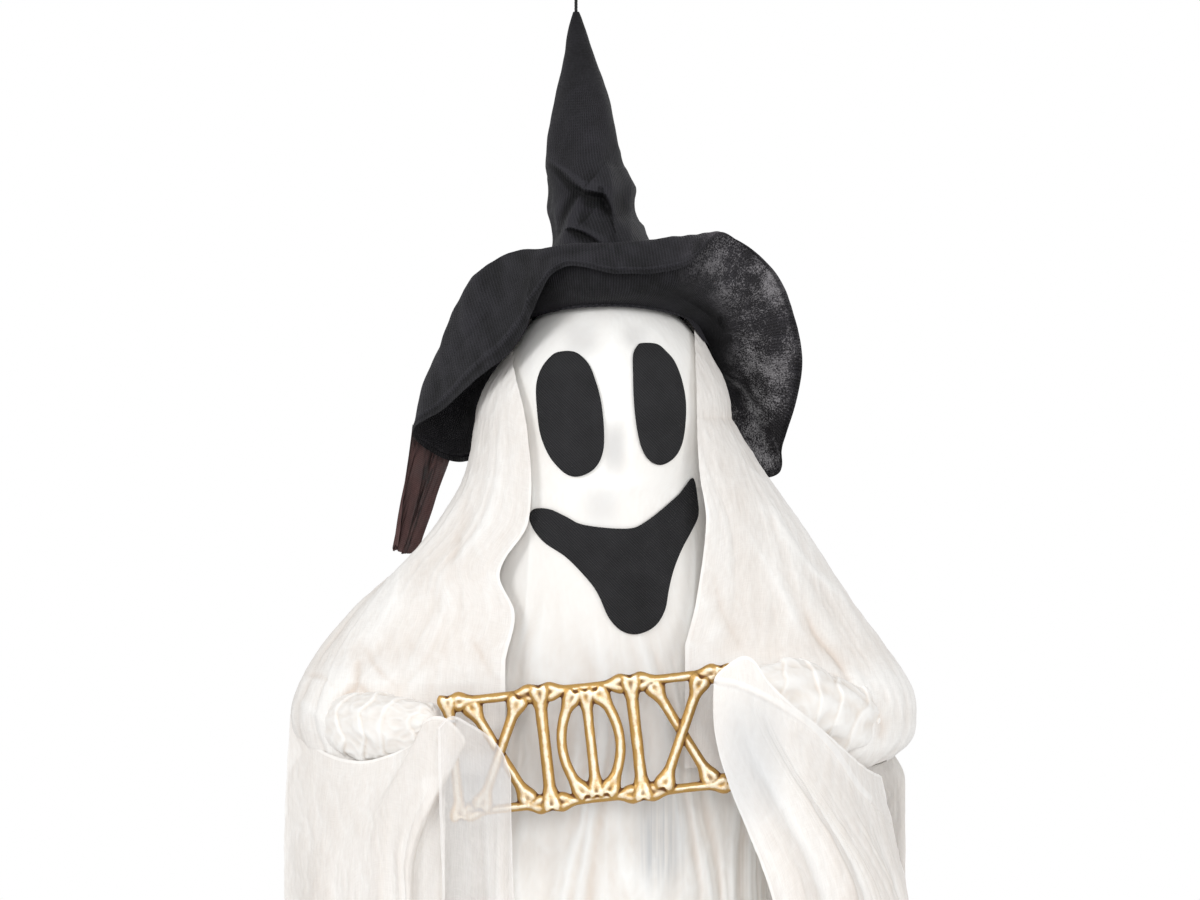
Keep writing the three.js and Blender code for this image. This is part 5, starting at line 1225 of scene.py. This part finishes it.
for seed, (node, (points, fold)) in enumerate(falls.items(), 80):
    behind = "back" in node
    facing_front = -np.sign(normals_of(points)[..., 1].mean())
    points = points + normals_of(points) * crinkled(points, seed, 0.7, 0.8)[..., None]
    grey, crease = 0, 0
    columns = np.linspace(0, 1, points.shape[1])
    if node == "cuff_veil":
        # A denser patch of the veil is painted grey, as shade where the sign's end lies behind it.
        grey = 0.3 * patch(seen(points), 479, 786, 30, 32, 6)
    if node == "sleeve_left":
        points = laid_over(points, limbs["left"], ramp(0.2, 0.34, columns))
    if node == "sleeve_right":
        away = beside(seen(points), RIGHT_FOLD)[0]
        turned = 1.6 * ramp(-3, 3, away) * (np.abs(away) < 60)
        crease = ridge_fold(seen(points), RIGHT_FOLD, 1.6, 2.5) + turned
        points = laid_over(points, limbs["right"], np.ones(points.shape[1]))
        points[..., 1] -= crease
        # The inside of the right cuff is painted grey, as shade.
        grey = 0.45 * patch(seen(points), 750, 760, 34, 66, 3) * (away < 0)
    # The fold attribute paints shade into fold valleys, and the hem a painted highlight along hems and the
    # stitched band.
    relief = fold * 0.5 + 0.2 * crease + raised(points, steps=(2, 9)) * facing_front
    edge = hems(points, not behind) * (0.55 if node == "cuff_veil" else 1)
    if node == "sleeve_right":
        stitched = (1 - ramp(1.5, 3.5, np.abs(away - 3))) * (points[..., 2] > ELBOW_Z - 80)
        edge = np.maximum(edge, stitched)
    piece = mesh_of(f"{node}_gauze", points, fold=relief, thin=grey, hem=edge)
    gauze = sheer_gauze if node == "cuff_veil" else cape_gauze
    in_place_of(node, piece, gauze, "figure" if behind else None)
    if not behind:
        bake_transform(piece)
    side = "right" if "right" in node else "left"

# The sign: a trellis of bones cast in plastic, gilded and washed with brown so that the hollows
# stay dark. Both wrists hold it by wire rings round its end bones.
SIGN_SPAN, SIGN_HEIGHT = 199.0, 84.0
SIGN_SHIFT, SIGN_FORWARD, SIGN_Z = -8.5, 110.0, -620.0
SIGN_TILT = math.radians(6.4)
BONE_RADIUS, KNUCKLE_RADIUS = 4.3, 5.4
PATH_STEPS, BONE_SIDES, END_STEPS, SHAFT_STEPS = 60, 22, 22, 26
# A bone's end reaches past its line and tapers into the shaft, both in knuckle radii.
END_PAST, END_TAPER = 0.95, 2.6
END_SWELL = ((-END_PAST, -0.75, -0.3, 0.3, 1.0, 1.7, END_TAPER), (0.3, 0.62, 0.95, 1, 0.72, 0.28, 0))
BAYS, RAIL, BRACE, END_POST = 3, 0.8, 0.88, 0.86
BOW_INSET, BRACE_TOP = 9, 36.0
SIGN_VOXEL = 0.0007
HOLLOW_STEPS = 12


def at_share(path, t):
    """Places on a path at shares of its steps."""
    where = np.clip(t, 0, 1) * (len(path) - 1)
    i = np.minimum(where.astype(int), len(path) - 2)
    part = (where - i)[:, None]
    return path[i] * (1 - part) + path[i + 1] * part


def bone(path, girth, seed):
    """A bone along a level curve: a waisted shaft that spreads into two knuckles at each end."""
    path = np.asarray(path, float)
    path = smooth_line(path, PATH_STEPS) if len(path) > 2 else np.linspace(*path, PATH_STEPS)
    length = np.linalg.norm(np.diff(path, axis=0), axis=1).sum()
    knuckle = girth * KNUCKLE_RADIUS
    wear = Noise(seed)
    reach = np.concatenate([
        np.linspace(-END_PAST, END_TAPER, END_STEPS) * knuckle,
        np.linspace(END_TAPER * knuckle, length - END_TAPER * knuckle, SHAFT_STEPS)[1:-1],
        length - np.linspace(END_TAPER, -END_PAST, END_STEPS) * knuckle])
    t = reach / length
    inside = np.clip(t, 0, 1)
    middle = at_share(path, inside)
    along = unit(at_share(np.gradient(path, axis=0), inside))
    middle = middle + along * ((t - inside) * length)[:, None]
    across = np.stack([along[:, 2], 0 * t, -along[:, 0]], axis=1)
    from_end = np.minimum(reach, length - reach) / knuckle
    swell = np.interp(from_end, *END_SWELL)
    turn = np.arange(BONE_SIDES) * math.tau / BONE_SIDES
    lobe = np.abs(np.cos(turn))[None, :]
    shaft = girth * BONE_RADIUS * (1 + 0.3 * np.abs(2 * inside - 1) ** 3)[:, None]
    wide = shaft + (knuckle * (0.86 + 0.86 * lobe ** 1.6) - shaft) * swell[:, None]
    round_x, round_y = np.cos(turn)[None, :], np.sin(turn)[None, :]
    wide = wide * (1 + 0.05 * wear(round_x * 1.5, round_y * 1.5, reach[:, None] / 9))
    cleft = np.where(from_end < 0, 0.75 * knuckle, 0)[:, None] * (1 - lobe)
    cleft = cleft * np.sign(length / 2 - reach)[:, None]
    points = middle[:, None] + across[:, None] * (wide * round_x)[..., None]
    points = points + along[:, None] * cleft[..., None]
    points[..., 1] += wide * np.sin(turn)
    return points


def hung(points):
    """Places on the flat trellis as the tilted sign has them."""
    x, y, z = (points[..., k] for k in range(3))
    c, s = math.cos(SIGN_TILT), math.sin(SIGN_TILT)
    return np.stack([SIGN_SHIFT + x * c - z * s, y - SIGN_FORWARD, SIGN_Z + x * s + z * c], axis=-1)


half, top = SIGN_SPAN / 2, SIGN_HEIGHT / 2
bay = SIGN_SPAN / BAYS
posts = [i * bay - half for i in range(BAYS + 1)]
bones = [([(x, 0, -top), (x, 0, top)], END_POST if abs(x) > bay else 1) for x in posts]
rail_inset, brace_inset = KNUCKLE_RADIUS + 1.5, 3 * KNUCKLE_RADIUS
for i in range(BAYS):
    x0, x1 = posts[i], posts[i + 1]
    bones += [([(x0 + rail_inset, 0, z), (x1 - rail_inset, 0, z)], RAIL) for z in (top - 2, 2 - top)]
    for way in (-1, 1):
        if i == BAYS // 2:
            bow = [np.array(place) for place in (
                (way * BOW_INSET, 0, BRACE_TOP), (way * bay / 2, 0, 0), (way * BOW_INSET, 0, -BRACE_TOP))]
            bones.append((bezier(*bow, 9), BRACE))
        else:
            ends = [(x0 + brace_inset, way, way * BRACE_TOP), (x1 - brace_inset, way, -way * BRACE_TOP)]
            bones.append((ends, BRACE))
    if i == BAYS // 2:
        bones.append(([(0, 0, BRACE_TOP), (0, 0, -BRACE_TOP)], BRACE))
parts = [mesh_of(f"bone_{i}", hung(bone(path, girth, 90 + i)), wrap=True, caps=True)
         for i, (path, girth) in enumerate(bones)]
bone_sign = joined("bone_sign_cast", *parts)
bone_sign.data.uv_layers.remove(bone_sign.data.uv_layers["cloth"])
for kind, settings in (
        ("REMESH", {"mode": "VOXEL", "voxel_size": SIGN_VOXEL, "use_smooth_shade": True}),
        ("SMOOTH", {"factor": 0.5, "iterations": 2})):
    modifier = bone_sign.modifiers.new(kind.lower(), kind)
    for key, value in settings.items():
        setattr(modifier, key, value)
    bpy.context.view_layer.objects.active = bone_sign
    bpy.ops.object.modifier_apply(modifier=modifier.name)


def read(rows, key, width, kind=float):
    """One value of each row of a mesh, as an array."""
    values = np.zeros(len(rows) * width, kind)
    rows.foreach_get(key, values)
    return values.reshape(-1, width)


# The brown wash gathers in the hollows: where the skin lies below its own average round about.
co = read(bone_sign.data.vertices, "co", 3)
out = read(bone_sign.data.vertices, "normal", 3)
ends = read(bone_sign.data.edges, "vertices", 2, int)
count = np.bincount(ends.ravel(), minlength=len(co))[:, None]
evened = co.copy()
for _ in range(HOLLOW_STEPS):
    total = np.stack([
        np.bincount(ends[:, 0], evened[ends[:, 1], k], len(co))
        + np.bincount(ends[:, 1], evened[ends[:, 0], k], len(co)) for k in range(3)], axis=1)
    evened = total / count
hollow = ((evened - co) * out).sum(axis=1) * 1000
# facing tells how far the skin turns to the camera; it sets the painted highlight and painted shade below.
for key, values in (("hollow", np.clip(hollow, -1, 1)), ("facing", -out[:, 1])):
    bone_sign.data.attributes.new(key, "FLOAT", "POINT").data.foreach_set("value", values)

gilt = Finish("bone_gold", Roughness=0.36, Specular_IOR_Level=0.5)
worn = gilt.noise(gilt.place(), 130.0, 4.0, 0.65)
grain = gilt.noise(gilt.place((600, 600, 160)), 1.0, 3.0)
hollow, facing = gilt.attribute("hollow"), gilt.attribute("facing")
# The brown wash in the hollows is the real finish; the brown on flanks turned from the camera is painted
# shade, and the cream glint where the skin faces it is a painted highlight.
wash_and_shade = (1.5 - facing * 1.5 + hollow * 3.8 + (worn - 0.5) * 1.7).clipped()
glint = ((facing - 0.95) * 11 - hollow * 2.5 + (worn - 0.5) * 2.6).clipped()
gold = gilt.blend(glint, paint(186, 146, 80), paint(236, 222, 196))
bone_gold = gilt.feeds(
    Base_Color=gilt.blend(wash_and_shade, gold, paint(98, 58, 18)),
    Metallic=0.45 - wash_and_shade * 0.35,
    Roughness=0.4 + wash_and_shade * 0.3,
    Normal=gilt.bump(grain * 0.5 + worn, 0.6, 0.0008))
in_place_of("bone_sign", bone_sign, bone_gold, "sign")

# The works, out of sight under the cloth: the head moulding, the lamps on their post, the bent
# armature wire with its clamp, the wrist rings and the battery box, each in its own material.


def moulded(name, dark, light, rough, grain=400.0, metal=0.0, depth=0.00015):
    """Moulded plastic, plated wire or printed sleeve: a fine grain with a slow change of tone."""
    finish = Finish(name, Specular_IOR_Level=0.4, Metallic=metal)
    slow = finish.noise(finish.place(), 25.0, 3.0)
    fine = finish.noise(finish.place(), grain, 2.0)
    return finish.feeds(
        Base_Color=finish.blend(slow, dark, light),
        Roughness=rough + (fine - 0.5) * 0.2,
        Normal=finish.bump(fine, 0.3, depth))


WORKS = {
    moulded("shell_white", paint(236, 236, 234), paint(248, 248, 246), 0.45): ("head_front", "head_rear"),
    moulded("case_white", paint(222, 222, 216), paint(236, 236, 230), 0.5): (
        "cord_anchor", "neck_plug", "lamp_post", "wire_clamp", "battery_case", "battery_door"),
    moulded("board_green", paint(34, 92, 58), paint(52, 118, 78), 0.5, 900.0): ("lamp_board",),
    moulded("lamp_clear", paint(236, 240, 248), paint(250, 252, 255), 0.12, 60.0): (
        "lamp_1", "lamp_2", "lamp_3", "lamp_4"),
    moulded("lead_red", paint(120, 24, 22), paint(150, 34, 32), 0.45): ("lamp_lead",),
    moulded("steel", paint(176, 178, 182), paint(206, 207, 210), 0.32, 1200.0, 1.0): (
        "shoulder_wire", "forearm_wire_left", "forearm_wire_right", "wrist_ring_left", "wrist_ring_right",
        "contact_strip", "spring_strip", "switch_body"),
    moulded("cell_grey", paint(78, 84, 92), paint(98, 104, 112), 0.35, 900.0, 0.3): (
        "battery_cell_1", "battery_cell_2", "battery_cell_3"),
    moulded("switch_black", paint(26, 26, 28), paint(42, 42, 44), 0.45): ("switch_knob",),
}
for material, names in WORKS.items():
    for name in names:
        nodes[name].material_slots[0].material = material

low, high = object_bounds()
